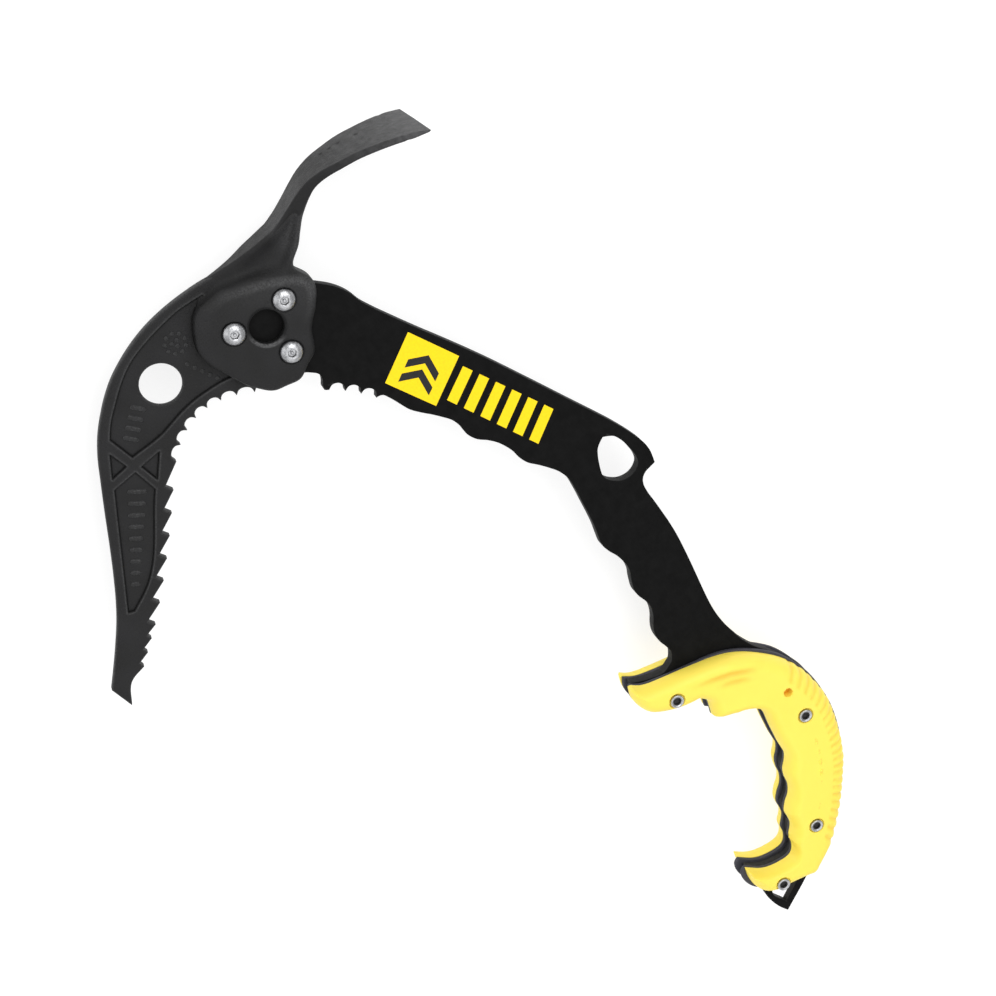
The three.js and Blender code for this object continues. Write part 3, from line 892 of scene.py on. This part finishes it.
def loop_normals(ring):
    """The direction into the outline at each of its points."""
    left = left_normals(ring)
    inward = signed(ring + EDGE_CLEAR * left, [ring]) > 0
    return left * np.where(inward, 1, -1)[:, None]


make_pick()

# ---- head: boss, neck and adze

# The neck and the adze along their middle line: its x and y, the thickness and the half width.
ADZE_STATIONS = [
    (-22.8, -16, 21, 1.6),
    (-22.2, -6, 21, 2.3),
    (-21.6, 5, 21, 4.6),
    (-22, 16, 21, 7.4),
    (-25, 28, 16.5, 8.8),
    (-28.6, 35, 12.2, 9.4),
    (-32.9, 42, 8.4, 10.2),
    (-36.8, 49, 6, 11.4),
    (-39.2, 55, 4.6, 13.4),
    (-40, 62, 3.9, 16.4),
    (-39.4, 70, 3.5, 19.2),
    (-38.4, 78, 3.3, 21.2),
    (-36.5, 86, 3.1, 22.9),
    (-34.2, 94, 2.9, 24.7),
    (-31.4, 102, 2.6, 26.2),
    (-28.6, 109.5, 0.9, 26.8),
]
ADZE_STEPS = 240  # of the middle line
ADZE_EDGE_BOW = 2.2
ADZE_ROUND, ADZE_ROUND_SHARE = 1.2, 0.3  # of its edges, at most, and as a share of its thickness
FAR_INSIDE = -5  # a distance that never decides where the surface is
ADZE_GROOVE = 99.5  # y of a shallow groove across the adze behind its cutting edge
GROOVE_DEPTH, GROOVE_WIDTH = 0.5, 1.1
ADZE_BARS = (67, 71.5, 76, 84.5)  # y of plain stamped bars across its upper face
ADZE_BAR_WIDTH = 0.9
ADZE_BAR_DEPTH = 0.5
ADZE_BAR_END = (8, 9)
NECK_WEB = 4.2  # half the thickness of the neck between its flange and its rib
NECK_FLANGE, FLANGE_FADE = 0.6, 4.6  # from the spine
NECK_RIB = 3.4
RIB_AT, RIB_WIDTH = 1.8, 2.4  # from the inner side
NECK_THICKNESS = (4.4, 10.5)  # from the adze's thickness to the neck's
ROOT_THICKNESS = (17, 21)  # from the neck's to that inside the boss
GRID = 0.48
HEAD_LOW = (-46, -36)
HEAD_HIGH = (36, 114)
HEAD_TOP = 28.5
BOSS_WAVE = 13  # from one wave of the boss's edge over the shaft to the next
BOSS_WAVE_DEPTH = 0.45
BOSS_RIGHT = (14, 24)  # x of the side over the shaft
BOSS_UPPER = (6, 24)  # y of the upper side
BOSS_ROUND, ROUND_RIGHT, ROUND_UPPER = 1.6, 1.6, 3.2  # of its edge, and how much more on those sides
BOSS_UPPER_INSET = 0.7
FILLET, THROAT_FILLET = 4.0, 5.0  # between the boss and the neck, and how much more at the throat
THROAT = (-30, -16)
CHEEK_HOLE_RADIUS = 8
CHEEK_CHAMFER = 1.3
SEAT_RADIUS = 5.7
SEAT_DEPTH = 0.8
# Painted highlights: on the cheek hole's rim, on the side where light falls on its chamfer, and on the
# boss's upper bevel and cheek. The neck and the adze's tip have rubbed paint.
LIT_SIDE = (0.74, -0.67)  # of the cheek hole's rim
HOLE_HIGHLIGHT, BEVEL_HIGHLIGHT, CHEEK_HIGHLIGHT, NECK_RUB, TIP_RUB = 0.8, 0.34, 0.12, 0.2, 0.3
CHEEK_FROM, CHEEK_END, NECK_TOP = 4, 32, 9  # a height, a y and a height that bound the highlighted upper side and the rubbed neck
SLOT_HALF = 3.15
CAD_SLOT_HALF = 3.3
SLOT_LONGER = 4  # than the CAD's, over the shaft
SLOT_FLOOR = 2.4  # below the shaft plate's face, which shows through the cheek hole


def soft_union(a, b, width):
    h = np.clip(0.5 + 0.5 * (b - a) / width, 0, 1)
    return b * (1 - h) + a * h - width * h * (1 - h)


def slab_field(flat, up, half, rounding):
    """The distance outside a plate: flat is the distance outside its outline, up the height."""
    side, above = flat + rounding, up - half + rounding
    beyond = np.maximum(side, above)
    out = np.hypot(np.maximum(side, 0), np.maximum(above, 0))
    return np.where(beyond > 0, out, beyond) - rounding


def sampled(places, values):
    """Each column of values between whole places."""
    every = np.arange(len(values))
    return np.stack([np.interp(places, every, column) for column in values.T], 1)


def adze_places(points):
    """The station nearest to each flat point, the distances from it and out from the line, beyond the
    tip and behind the root, and which points are at the tip.
    """
    stops = np.linspace(0, len(ADZE_STATIONS) - 1, ADZE_STEPS)
    stations = np.array(ADZE_STATIONS, float)
    index = np.arange(len(stations))
    curve = np.stack([smooth_values(index, column, stops) for column in stations.T], 1)
    line = curve[:, :2]
    gap, share = to_line(points, line)
    along = unit(np.gradient(line, axis=0))
    at = share * (ADZE_STEPS - 1)
    place = sampled(at, curve)
    outward = ((points - place[:, :2]) * left_of(sampled(at, along))).sum(1)
    ahead = np.where(share >= 1, ((points - line[-1]) * along[-1]).sum(1), FAR_INSIDE)
    behind = np.where(share <= 0, -((points - line[0]) * along[0]).sum(1), FAR_INSIDE)
    gap = np.where((share > 0) & (share < 1), np.abs(outward), gap)
    return place, gap, outward, ahead, behind, share >= 1


def neck_width(outward, thickness, width):
    """The half width, thinned to a web between the neck's flange and its rib."""
    from_spine = thickness / 2 - outward
    from_inside = thickness / 2 + outward
    web = np.minimum(NECK_WEB, width)
    thinned = web + (width - web) * bell(np.maximum(from_spine - NECK_FLANGE, 0), 0, FLANGE_FADE)
    thinned += NECK_RIB * bell(from_inside, RIB_AT, RIB_WIDTH) * (1 - ease(thickness, *ROOT_THICKNESS))
    neck = ease(thickness, *NECK_THICKNESS)
    return width * (1 - neck) + thinned * neck


def adze_field(points, up):
    """The distance outside the neck and adze, for flat points and heights."""
    place, gap, outward, ahead, behind, at_tip = adze_places(points)
    _, y, thickness, width = place.T
    width = neck_width(outward, thickness, width)[:, None]
    thickness = thickness - GROOVE_DEPTH * bell(y, ADZE_GROOVE, GROOVE_WIDTH)
    rounding = np.minimum(ADZE_ROUND, ADZE_ROUND_SHARE * thickness)[:, None]
    field = slab_field((gap - thickness / 2)[:, None], up, width, rounding)
    bars = sum(np.exp(-((y - bar) / ADZE_BAR_WIDTH)**4) for bar in ADZE_BARS) * (outward > 0)
    field += ADZE_BAR_DEPTH * bars[:, None] * (1 - ease(up, *ADZE_BAR_END))
    edge = ahead[:, None] + ADZE_EDGE_BOW * (up / width)**2
    field = np.maximum(field, np.where(at_tip[:, None], edge, FAR_INSIDE))
    return np.maximum(field, behind[:, None])


def smooth_values(places, values, wanted):
    """Values between places on a smooth curve through them."""
    slope = np.gradient(values, places)
    i = np.clip(np.searchsorted(places, wanted, side="right") - 1, 0, len(places) - 2)
    return hermite(wanted - places[i], values[i], slope[i], values[i + 1], slope[i + 1])


def surface(field, low, step):
    """The surface where a field on a grid is zero, with one vertex in each cell that it crosses."""
    solid = field < 0
    cells = tuple(size - 1 for size in field.shape)
    total = np.zeros(cells + (3,))
    count = np.zeros(cells)
    edges = []
    for axis in range(3):
        one = [slice(None)] * 3
        two = [slice(None)] * 3
        one[axis], two[axis] = slice(0, -1), slice(1, None)
        first, second = field[tuple(one)], field[tuple(two)]
        crossed = solid[tuple(one)] != solid[tuple(two)]
        at = np.argwhere(crossed)
        share = first[crossed] / (first[crossed] - second[crossed])
        place = at.astype(float)
        place[:, axis] += share
        others = [other for other in range(3) if other != axis]
        around = []
        for back_one, back_two in ((0, 0), (1, 0), (1, 1), (0, 1)):
            cell = at.copy()
            cell[:, others[0]] -= back_one
            cell[:, others[1]] -= back_two
            around.append(cell)
            np.add.at(total, tuple(cell.T), place)
            np.add.at(count, tuple(cell.T), 1)
        edges.append((axis, solid[tuple(one)][crossed], around))
    used = count > 0
    number = np.full(cells, -1)
    number[used] = np.arange(used.sum())
    vertices = total[used] / count[used][:, None] * step + np.array(low)
    faces = []
    for axis, starts_solid, around in edges:
        quads = np.stack([number[tuple(cell.T)] for cell in around], 1)
        flip = starts_solid if axis == 1 else ~starts_solid
        quads[flip] = quads[flip][:, ::-1]
        faces.append(quads)
    return vertices, np.vstack(faces)


def head_rub_and_highlight(vertices, boss_ring):
    """Where the paint is lightened, 0 to 1: painted highlights on the cheek hole's lit rim and the boss's
    upper side, and rubbed paint on the neck and the adze's tip.
    """
    flat, height = vertices[:, :2], np.abs(vertices[:, 2])
    away = np.hypot(*flat.T)
    # Painted highlight on the cheek hole's rim, on the side where the light falls on its chamfer.
    rim = window(away - CHEEK_HOLE_RADIUS, -0.2, CHEEK_CHAMFER + 0.4, soft=0.5)
    rim *= ease((flat @ LIT_SIDE) / np.maximum(away, 1), low=0.3, high=0.9)
    rim *= height > BOSS_TOP - CHEEK_CHAMFER - 0.3
    inside = signed(flat, [boss_ring])
    # Painted highlight on the boss's upper bevel and cheek, the side that faces the light.
    upper = ease(flat[:, 1] - flat[:, 0], low=0, high=34)
    upper *= (height > CHEEK_FROM) * (flat[:, 1] < CHEEK_END)
    bevel = window(inside, 0.4, 6.5, soft=2.4)
    cheek = ease(inside, low=2, high=6)
    neck = window(flat[:, 1], 22, 56, soft=12) * (height < NECK_TOP)
    tip = ease(flat[:, 1], ADZE_GROOVE - 1, ADZE_GROOVE + 1)
    total = HOLE_HIGHLIGHT * rim + (BEVEL_HIGHLIGHT * bevel + CHEEK_HIGHLIGHT * cheek) * upper
    return np.clip(total + NECK_RUB * neck + TIP_RUB * tip, 0, 1)


def boss_field(points, up, ring):
    """The distance outside the boss."""
    right = ease(points[:, 0], *BOSS_RIGHT)[:, None]
    upper = ease(points[:, 1], *BOSS_UPPER)[:, None]
    wave = np.sin(points[:, 1] * 2 * math.pi / BOSS_WAVE)[:, None]
    flat = -signed(points, [ring])[:, None] + BOSS_WAVE_DEPTH * right * wave + BOSS_UPPER_INSET * upper
    rounding = BOSS_ROUND + ROUND_RIGHT * right + ROUND_UPPER * upper
    return slab_field(flat, up, BOSS_TOP, rounding)


def cut_head(field, points, up):
    """The head less the slot for the shaft, the cheek hole and the seats of the bolts."""
    slot_ring = face_loops("head_forging", CAD_SLOT_HALF, -1)[0]
    slot_flat = -signed(points, [slot_ring]) - SLOT_LONGER * ease(points[:, 0], *BOSS_RIGHT)
    field = np.maximum(field, -np.maximum(slot_flat[:, None], up - SLOT_HALF))
    cheek = np.hypot(*points.T)[:, None]
    chamfer = np.maximum(up - BOSS_TOP + CHEEK_CHAMFER, 0)
    field = np.maximum(field, -np.maximum(cheek - CHEEK_HOLE_RADIUS - chamfer, SLOT_FLOOR - up))
    for centre in HEAD_BOLTS:
        seat = np.hypot(*(points - centre).T)[:, None] - SEAT_RADIUS
        field = np.maximum(field, -np.maximum(seat, BOSS_TOP - SEAT_DEPTH - up))
    return field


def make_head():
    """The boss and holes, the neck and the adze, as one forged body."""
    xs = np.arange(HEAD_LOW[0], HEAD_HIGH[0], GRID)
    ys = np.arange(HEAD_LOW[1], HEAD_HIGH[1], GRID)
    heights = np.arange(0, HEAD_TOP, GRID)
    points = np.stack(np.meshgrid(xs, ys, indexing="ij"), -1).reshape(-1, 2)
    up = heights[None, :]
    boss_ring = fine_loop(face_loops("head_forging", BOSS_TOP)[0], OUTLINE_SPACING)
    fillet = FILLET + THROAT_FILLET * ease(points[:, 0], *THROAT)[:, None]
    field = soft_union(boss_field(points, up, boss_ring), adze_field(points, up), fillet)
    half = cut_head(field, points, up).reshape(len(xs), len(ys), len(heights))
    whole = np.concatenate([half[:, :, :0:-1], half], 2)
    vertices, faces = surface(whole, (xs[0], ys[0], -heights[-1]), GRID)
    piece = new_piece("head", vertices, [tuple(int(v) for v in face) for face in faces], FORGED,
                      ["head_forging"], smooth_below=60)
    set_value(piece, "rub_and_highlight", head_rub_and_highlight(vertices, boss_ring))


make_head()

# ---- grip

SCALE_BASE = 5.5
SCALE_CAD_BASE = 5.8
THINNEST = 0.2
SCALE_TOP = 15
SCALE_SKIRT = 0.4
SCALE_ROUND = 7.5
SCALE_STEPS = 9  # round its edge
# Where its edge is rounded less than that, and by how much less.
STEEP_SIDES = [
    ([(278, 22.7), (284, 28.4), (288, 37.6), (293, 52), (300, 68)], 2.2),
    ([(336, 61), (342, 68.6), (357, 69), (381.4, 65.6), (402, 55.8), (422, 44.6)], 1.4),
    ([(436, 37.4), (440.3, 25), (436.4, 16), (427.6, 8.4)], 4.6),
]
STEEP_BAND = (2.5, 11)  # from those lines
GRIP_CENTRE = (380, 40)
BACK_FACING = (0.5, 0.75)  # how nearly the back's outline looks away from the centre
BACK_FROM = (300, 310)  # x
RIB_FROM, RIB_TO = math.radians(134), math.radians(9)
RIB_COUNT = 24
RIB_DEPTH = 0.9
RIB_NOTCH = 0.45  # how far the dips between the ribs cut into the scale's outline
RIB_REACH = (-0.5, 9.5)  # from the scale's edge
RIB_SOFT = 1.6
# Two thumb grooves: their middle lines and depths.
SWOOSHES = [
    ([(300.5, 49), (304.5, 58.5), (309.5, 69), (315, 77.5), (318.5, 83)], 1.5),
    ([(310.6, 59), (313.4, 65.5), (317, 71.5), (321, 76.5)], 1.1),
]
SWOOSH_WIDTH = 1.7
SWOOSH_ENDS = (0.04, 0.96)
BLIND_HOLE = (342.5, 87.1)
BLIND_HOLE_DEPTH = 4.0
BLIND_HOLE_WALL = (1.8, 2.7)
PAD_COUNT = 7
PADS_FROM, PADS_TO = 0.34, 0.88  # along the back of the hand
PAD_BAND = (16, 25)  # from the scale's edge
PAD_HEIGHT = 0.75
PAD_WAVE = (-0.2, 0.2)  # from a gap to a pad, of a sine wave along the row
PAD_SOFT = 0.8
SINK_RADIUS = 4.2  # of the recess round a grip screw's head
SINK_DEPTH = 1.3
SINK_WALL = 0.5
SINK_STEPS = (-0.4, 0, 0.25, 0.5, 1)  # round the recess, where the scale's mesh is finer
HOLE_STEPS = (0.7, *BLIND_HOLE_WALL, 2.0, 2.9)
# How strongly painted shade darkens the hollows of the grooves, ribs, pads' sides and blind hole.
GROOVE_DARK, RIB_DARK, PAD_DARK, HOLE_DARK = 0.36, 0.3, 1.5, 0.9


def grooves(points):
    total = np.zeros(len(points))
    for line, depth in SWOOSHES:
        gap, along = to_line(points, line)
        total += depth * bell(gap, 0, SWOOSH_WIDTH) * np.sin(math.pi * np.clip(along, *SWOOSH_ENDS))
    return total


def along_back(places):
    """How far places are along the back of the hand, 0 to 1 where the ribs are."""
    turn = np.arctan2(places[:, 1] - GRIP_CENTRE[1], places[:, 0] - GRIP_CENTRE[0])
    return (RIB_FROM - turn) / (RIB_FROM - RIB_TO)


def rib_wave(share):
    return (0.5 + 0.5 * np.cos(2 * math.pi * RIB_COUNT * share))**2 * window(share, 0, 1, soft=0.03)


class ScaleEdge:
    """The outline of a scale, and what its nearest stretch says about a place inside."""

    def __init__(self, ring):
        inward = loop_normals(ring)
        from_centre = ring - np.array(GRIP_CENTRE)
        facing = -(inward * from_centre).sum(1) / lengths(from_centre)
        self.back = ease(facing, *BACK_FACING) * ease(ring[:, 0], *BACK_FROM)
        less = np.zeros(len(ring))
        for line, most in STEEP_SIDES:
            less = np.maximum(less, most * (1 - ease(to_line(ring, line)[0], *STEEP_BAND)))
        self.radius = SCALE_ROUND - less
        notch = RIB_NOTCH * rib_wave(along_back(ring)) * self.back
        self.ring = ring + notch[:, None] * inward

    def near(self, points):
        """The distance to the edge, the edge's rounding there, and whether that is the back's edge."""
        gap, nearest = to_segments(points, self.ring, np.roll(self.ring, -1, 0))
        return gap, self.radius[nearest], self.back[nearest]


def ribs_and_pads(points, edge, back):
    """The dips between the ribs along the back of the hand, and the plain pads beside them."""
    share = along_back(points)
    dips = rib_wave(share) * back * window(edge, *RIB_REACH, RIB_SOFT)
    turn = 2 * math.pi * PAD_COUNT * (share - PADS_FROM) / (PADS_TO - PADS_FROM)
    pads = ease(np.sin(turn), *PAD_WAVE) * back
    pads = pads * window(edge, *PAD_BAND, PAD_SOFT) * window(share, PADS_FROM, PADS_TO, soft=0.01)
    return dips, pads


def blind_hole(points):
    return 1 - ease(away_from(points, BLIND_HOLE), *BLIND_HOLE_WALL)


def make_scale(name, node_name, side):
    outline = face_loops("grip_scale_front", SCALE_CAD_BASE, -1)[0]
    rim = ScaleEdge(fine_loop(outline, spacing=0.7))

    def top(points):
        edge, radius, back = rim.near(points)
        height = SCALE_TOP - rounded(edge, radius, SCALE_TOP - SCALE_BASE - SCALE_SKIRT)
        dips, pads = ribs_and_pads(points, edge, back)
        height += PAD_HEIGHT * pads - RIB_DEPTH * dips - grooves(points)
        height -= BLIND_HOLE_DEPTH * blind_hole(points)
        for centre in GRIP_BOLTS:
            beyond = away_from(points, centre) - SINK_RADIUS
            height -= SINK_DEPTH * (1 - ease(beyond, 0, SINK_WALL))
        return np.maximum(height, SCALE_BASE + THINNEST)

    def hollow_shade(points):
        """How much painted shade a place gets for lying in a hollow, 0 to 1."""
        edge, _, back = rim.near(points)
        dips, pads = ribs_and_pads(points, edge, back)
        total = GROOVE_DARK * grooves(points) + RIB_DARK * dips + HOLE_DARK * blind_hole(points)
        return np.clip(total + PAD_DARK * pads * (1 - pads), 0, 1)

    def flat(points):
        return np.full(len(points), side * SCALE_BASE)

    def outside(points):
        return side * top(points)

    extra = [circle(BLIND_HOLE, radius, count=20) for radius in HOLE_STEPS]
    for centre in GRIP_BOLTS:
        extra += [circle(centre, SINK_RADIUS + step) for step in SINK_STEPS]
    front, back = (outside, flat) if side > 0 else (flat, outside)
    piece, plan = relief(name, [rim.ring], front, back, GRIP, [node_name],
                         round_offsets(SCALE_ROUND, SCALE_STEPS), spacing=0.8, extra=extra)
    set_value(piece, "hollow_shade", np.tile(hollow_shade(plan), 2))


LINER_TOP = 5.5
LINER_BASE = 3.1
LINER_EDGE = 0.6
LINER_SEAT_EDGE = 0.4


def make_liner(name, node_name, side):
    ring = fine_loop(face_loops("grip_liner_front", LINER_TOP)[0], spacing=0.9)

    def outside(points):
        return side * (LINER_TOP - rounded(to_loops(points, [ring]), LINER_EDGE, LINER_EDGE))

    def inside(points):
        return side * (LINER_BASE + rounded(to_loops(points, [ring]), LINER_SEAT_EDGE, LINER_SEAT_EDGE))

    front, back = (outside, inside) if side > 0 else (inside, outside)
    piece, _ = relief(name, [ring], front, back, LINER, [node_name],
                      round_offsets(LINER_EDGE, EDGE_STEPS), spacing=2.4)


for make, part in ((make_scale, "scale"), (make_liner, "liner")):
    make(f"{part}_front", f"grip_{part}_front", 1)
    make(f"{part}_back", f"grip_{part}_back", -1)

# ---- spike

def make_spike():
    piece = make_plate("spike_loop", "spike", half=2.5, edge=0.7, finish=SPIKE, outline=0.6, spacing=1.6)


make_spike()

# ---- screws and barrel nuts

SIDES = 48
# A screw head from its underside to the middle of its socket: its share of the head's radius, the
# height above the seat as a share of the head's, and how far the ring is six-sided, 0 to 1.
DOMED_HEAD = [
    (0, 0, 0), (0.97, 0, 0), (1, 0.06, 0), (1, 0.22, 0), (0.985, 0.32, 0), (0.93, 0.5, 0),
    (0.84, 0.67, 0), (0.72, 0.83, 0), (0.58, 0.94, 0), (0.48, 0.99, 0), (0.44, 1, 0),
    (0.4, 0.97, 0.4), (0.37, 0.9, 1), (0.36, 0.45, 1), (0.2, 0.42, 0.5), (0.15, 0.42, 0),
    (0.14, 0.72, 0), (0.1, 0.78, 0), (0, 0.78, 0),
]
RING_HEAD = [
    (0, 0, 0), (0.9, 0, 0), (0.94, 0.06, 0), (0.94, 0.6, 0), (0.92, 0.85, 0), (0.87, 0.97, 0),
    (0.8, 1, 0), (0.72, 0.96, 0), (0.65, 0.82, 0), (0.58, 0.74, 0), (0.52, 0.72, 0.4),
    (0.48, 0.68, 1), (0.47, 0.1, 1), (0, 0.05, 1),
]
# For each kind of screw head: its rings, its height, and the rings that its socket's painted shade is
# between.
HEAD_KINDS = {
    "head": (DOMED_HEAD, 2.9, (12, 13)),
    "grip": (RING_HEAD, 1.6, (9, 13)),
}
# How far each screw is turned from the one before it, in radians.
SPINS = {"head_bolt": 0.5, "head_nut": 0.3, "grip_bolt": 0.4, "grip_nut": 0.7}


def hexagon_share(turn):
    """How much nearer a hexagon's side is than its corners, in each direction."""
    return math.cos(math.pi / 6) / math.cos((turn % (math.pi / 3)) - math.pi / 6)


def make_screw_head(kind, part, number):
    node_name = f"{kind}_{part}_{number}"
    spin = SPINS[f"{kind}_{part}"] * number
    side = 1 if part == "bolt" else -1
    profile, tall, (socket_from, socket_to) = HEAD_KINDS[kind]
    low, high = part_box(node_name)
    centre = bolt_centre(node_name)
    radius = (high.x - low.x) / 2 / MM
    crown = ((high.z if side > 0 else low.z) - ORIGIN.z) / MM * side
    vertices, faces = [], []
    for share, rise, six in profile:
        for i in range(SIDES):
            turn = 2 * math.pi * i / SIDES
            reach = radius * share * (1 - six + six * hexagon_share(turn))
            x, y = centre + reach * np.array([math.cos(turn + spin), math.sin(turn + spin)])
            vertices.append((x, y, side * (crown - tall + rise * tall)))
    for ring in range(len(profile) - 1):
        for i in range(SIDES):
            j = (i + 1) % SIDES
            face = [ring * SIDES + i, ring * SIDES + j, (ring + 1) * SIDES + j, (ring + 1) * SIDES + i]
            faces.append(face[::side])
    piece = new_piece(node_name + "_head", vertices, faces, STEEL, [node_name], smooth_below=35)
    # The faces inside the socket get the painted shade.
    piece.data.materials.append(SOCKET_SHADE)
    for face in piece.data.polygons:
        face.material_index = socket_from <= face.index // SIDES < socket_to


for kind, bolts in (("head", HEAD_BOLTS), ("grip", GRIP_BOLTS)):
    for number in range(1, len(bolts) + 1):
        make_screw_head(kind, "bolt", number)
        make_screw_head(kind, "nut", number)

# ---- floor and lights

FLOOR_SIZE = 12.0
FLOOR_GAP = 0.0005  # under the axe
# Each light's place, its size and its power. All look at the middle of the floor.
LIGHTS = {
    "key": ((-0.9, 0.9, 1.5), 1.4, 15),
    "fill": ((1.2, -0.6, 1.3), 2.0, 6),
    "side": ((-1.1, -1.1, 0.8), 1.8, 6),
    "top": ((0.2, 0, 2.2), 2.6, 9),
}
SKY = [(0.0, grey(0.95)), (0.15, grey(0.6)), (0.35, grey(0.38)), (1.0, grey(0.8))]


def make_floor():
    half = FLOOR_SIZE / 2
    mesh = bpy.data.meshes.new("floor")
    corners = [(-half, -half, 0), (half, -half, 0), (half, half, 0), (-half, half, 0)]
    mesh.from_pydata(corners, [], [(0, 1, 2, 3)])
    mesh.materials.append(floor_finish())
    floor = add_object("floor", mesh)
    floor.location.z = -FLOOR_GAP


def area_light(name, place, size, power):
    data = bpy.data.lights.new(name, "AREA")
    data.shape = "DISK"
    data.size = size
    data.energy = power
    light = add_object(name, data)
    light.location = place
    light.rotation_euler = (-Vector(place)).to_track_quat("-Z", "Y").to_euler()


def make_sky():
    """A soft studio dome, pale at the horizon and brightest overhead."""
    world = bpy.data.worlds.new("studio")
    world.use_nodes = True
    tree = world.node_tree
    place = node(tree, "ShaderNodeTexCoord").outputs["Generated"]
    up = node(tree, "ShaderNodeSeparateXYZ", Vector=place).outputs["Z"]
    tree.links.new(ramp(tree, up, SKY), tree.nodes["Background"].inputs["Color"])
    bpy.context.scene.world = world


def make_lights():
    for name, settings in LIGHTS.items():
        area_light(name, *settings)
    bpy.context.scene.view_settings.view_transform = "Standard"


make_sky()
make_floor()
make_lights()


def plain(box):
    return [[float(value) for value in corner] for corner in box]
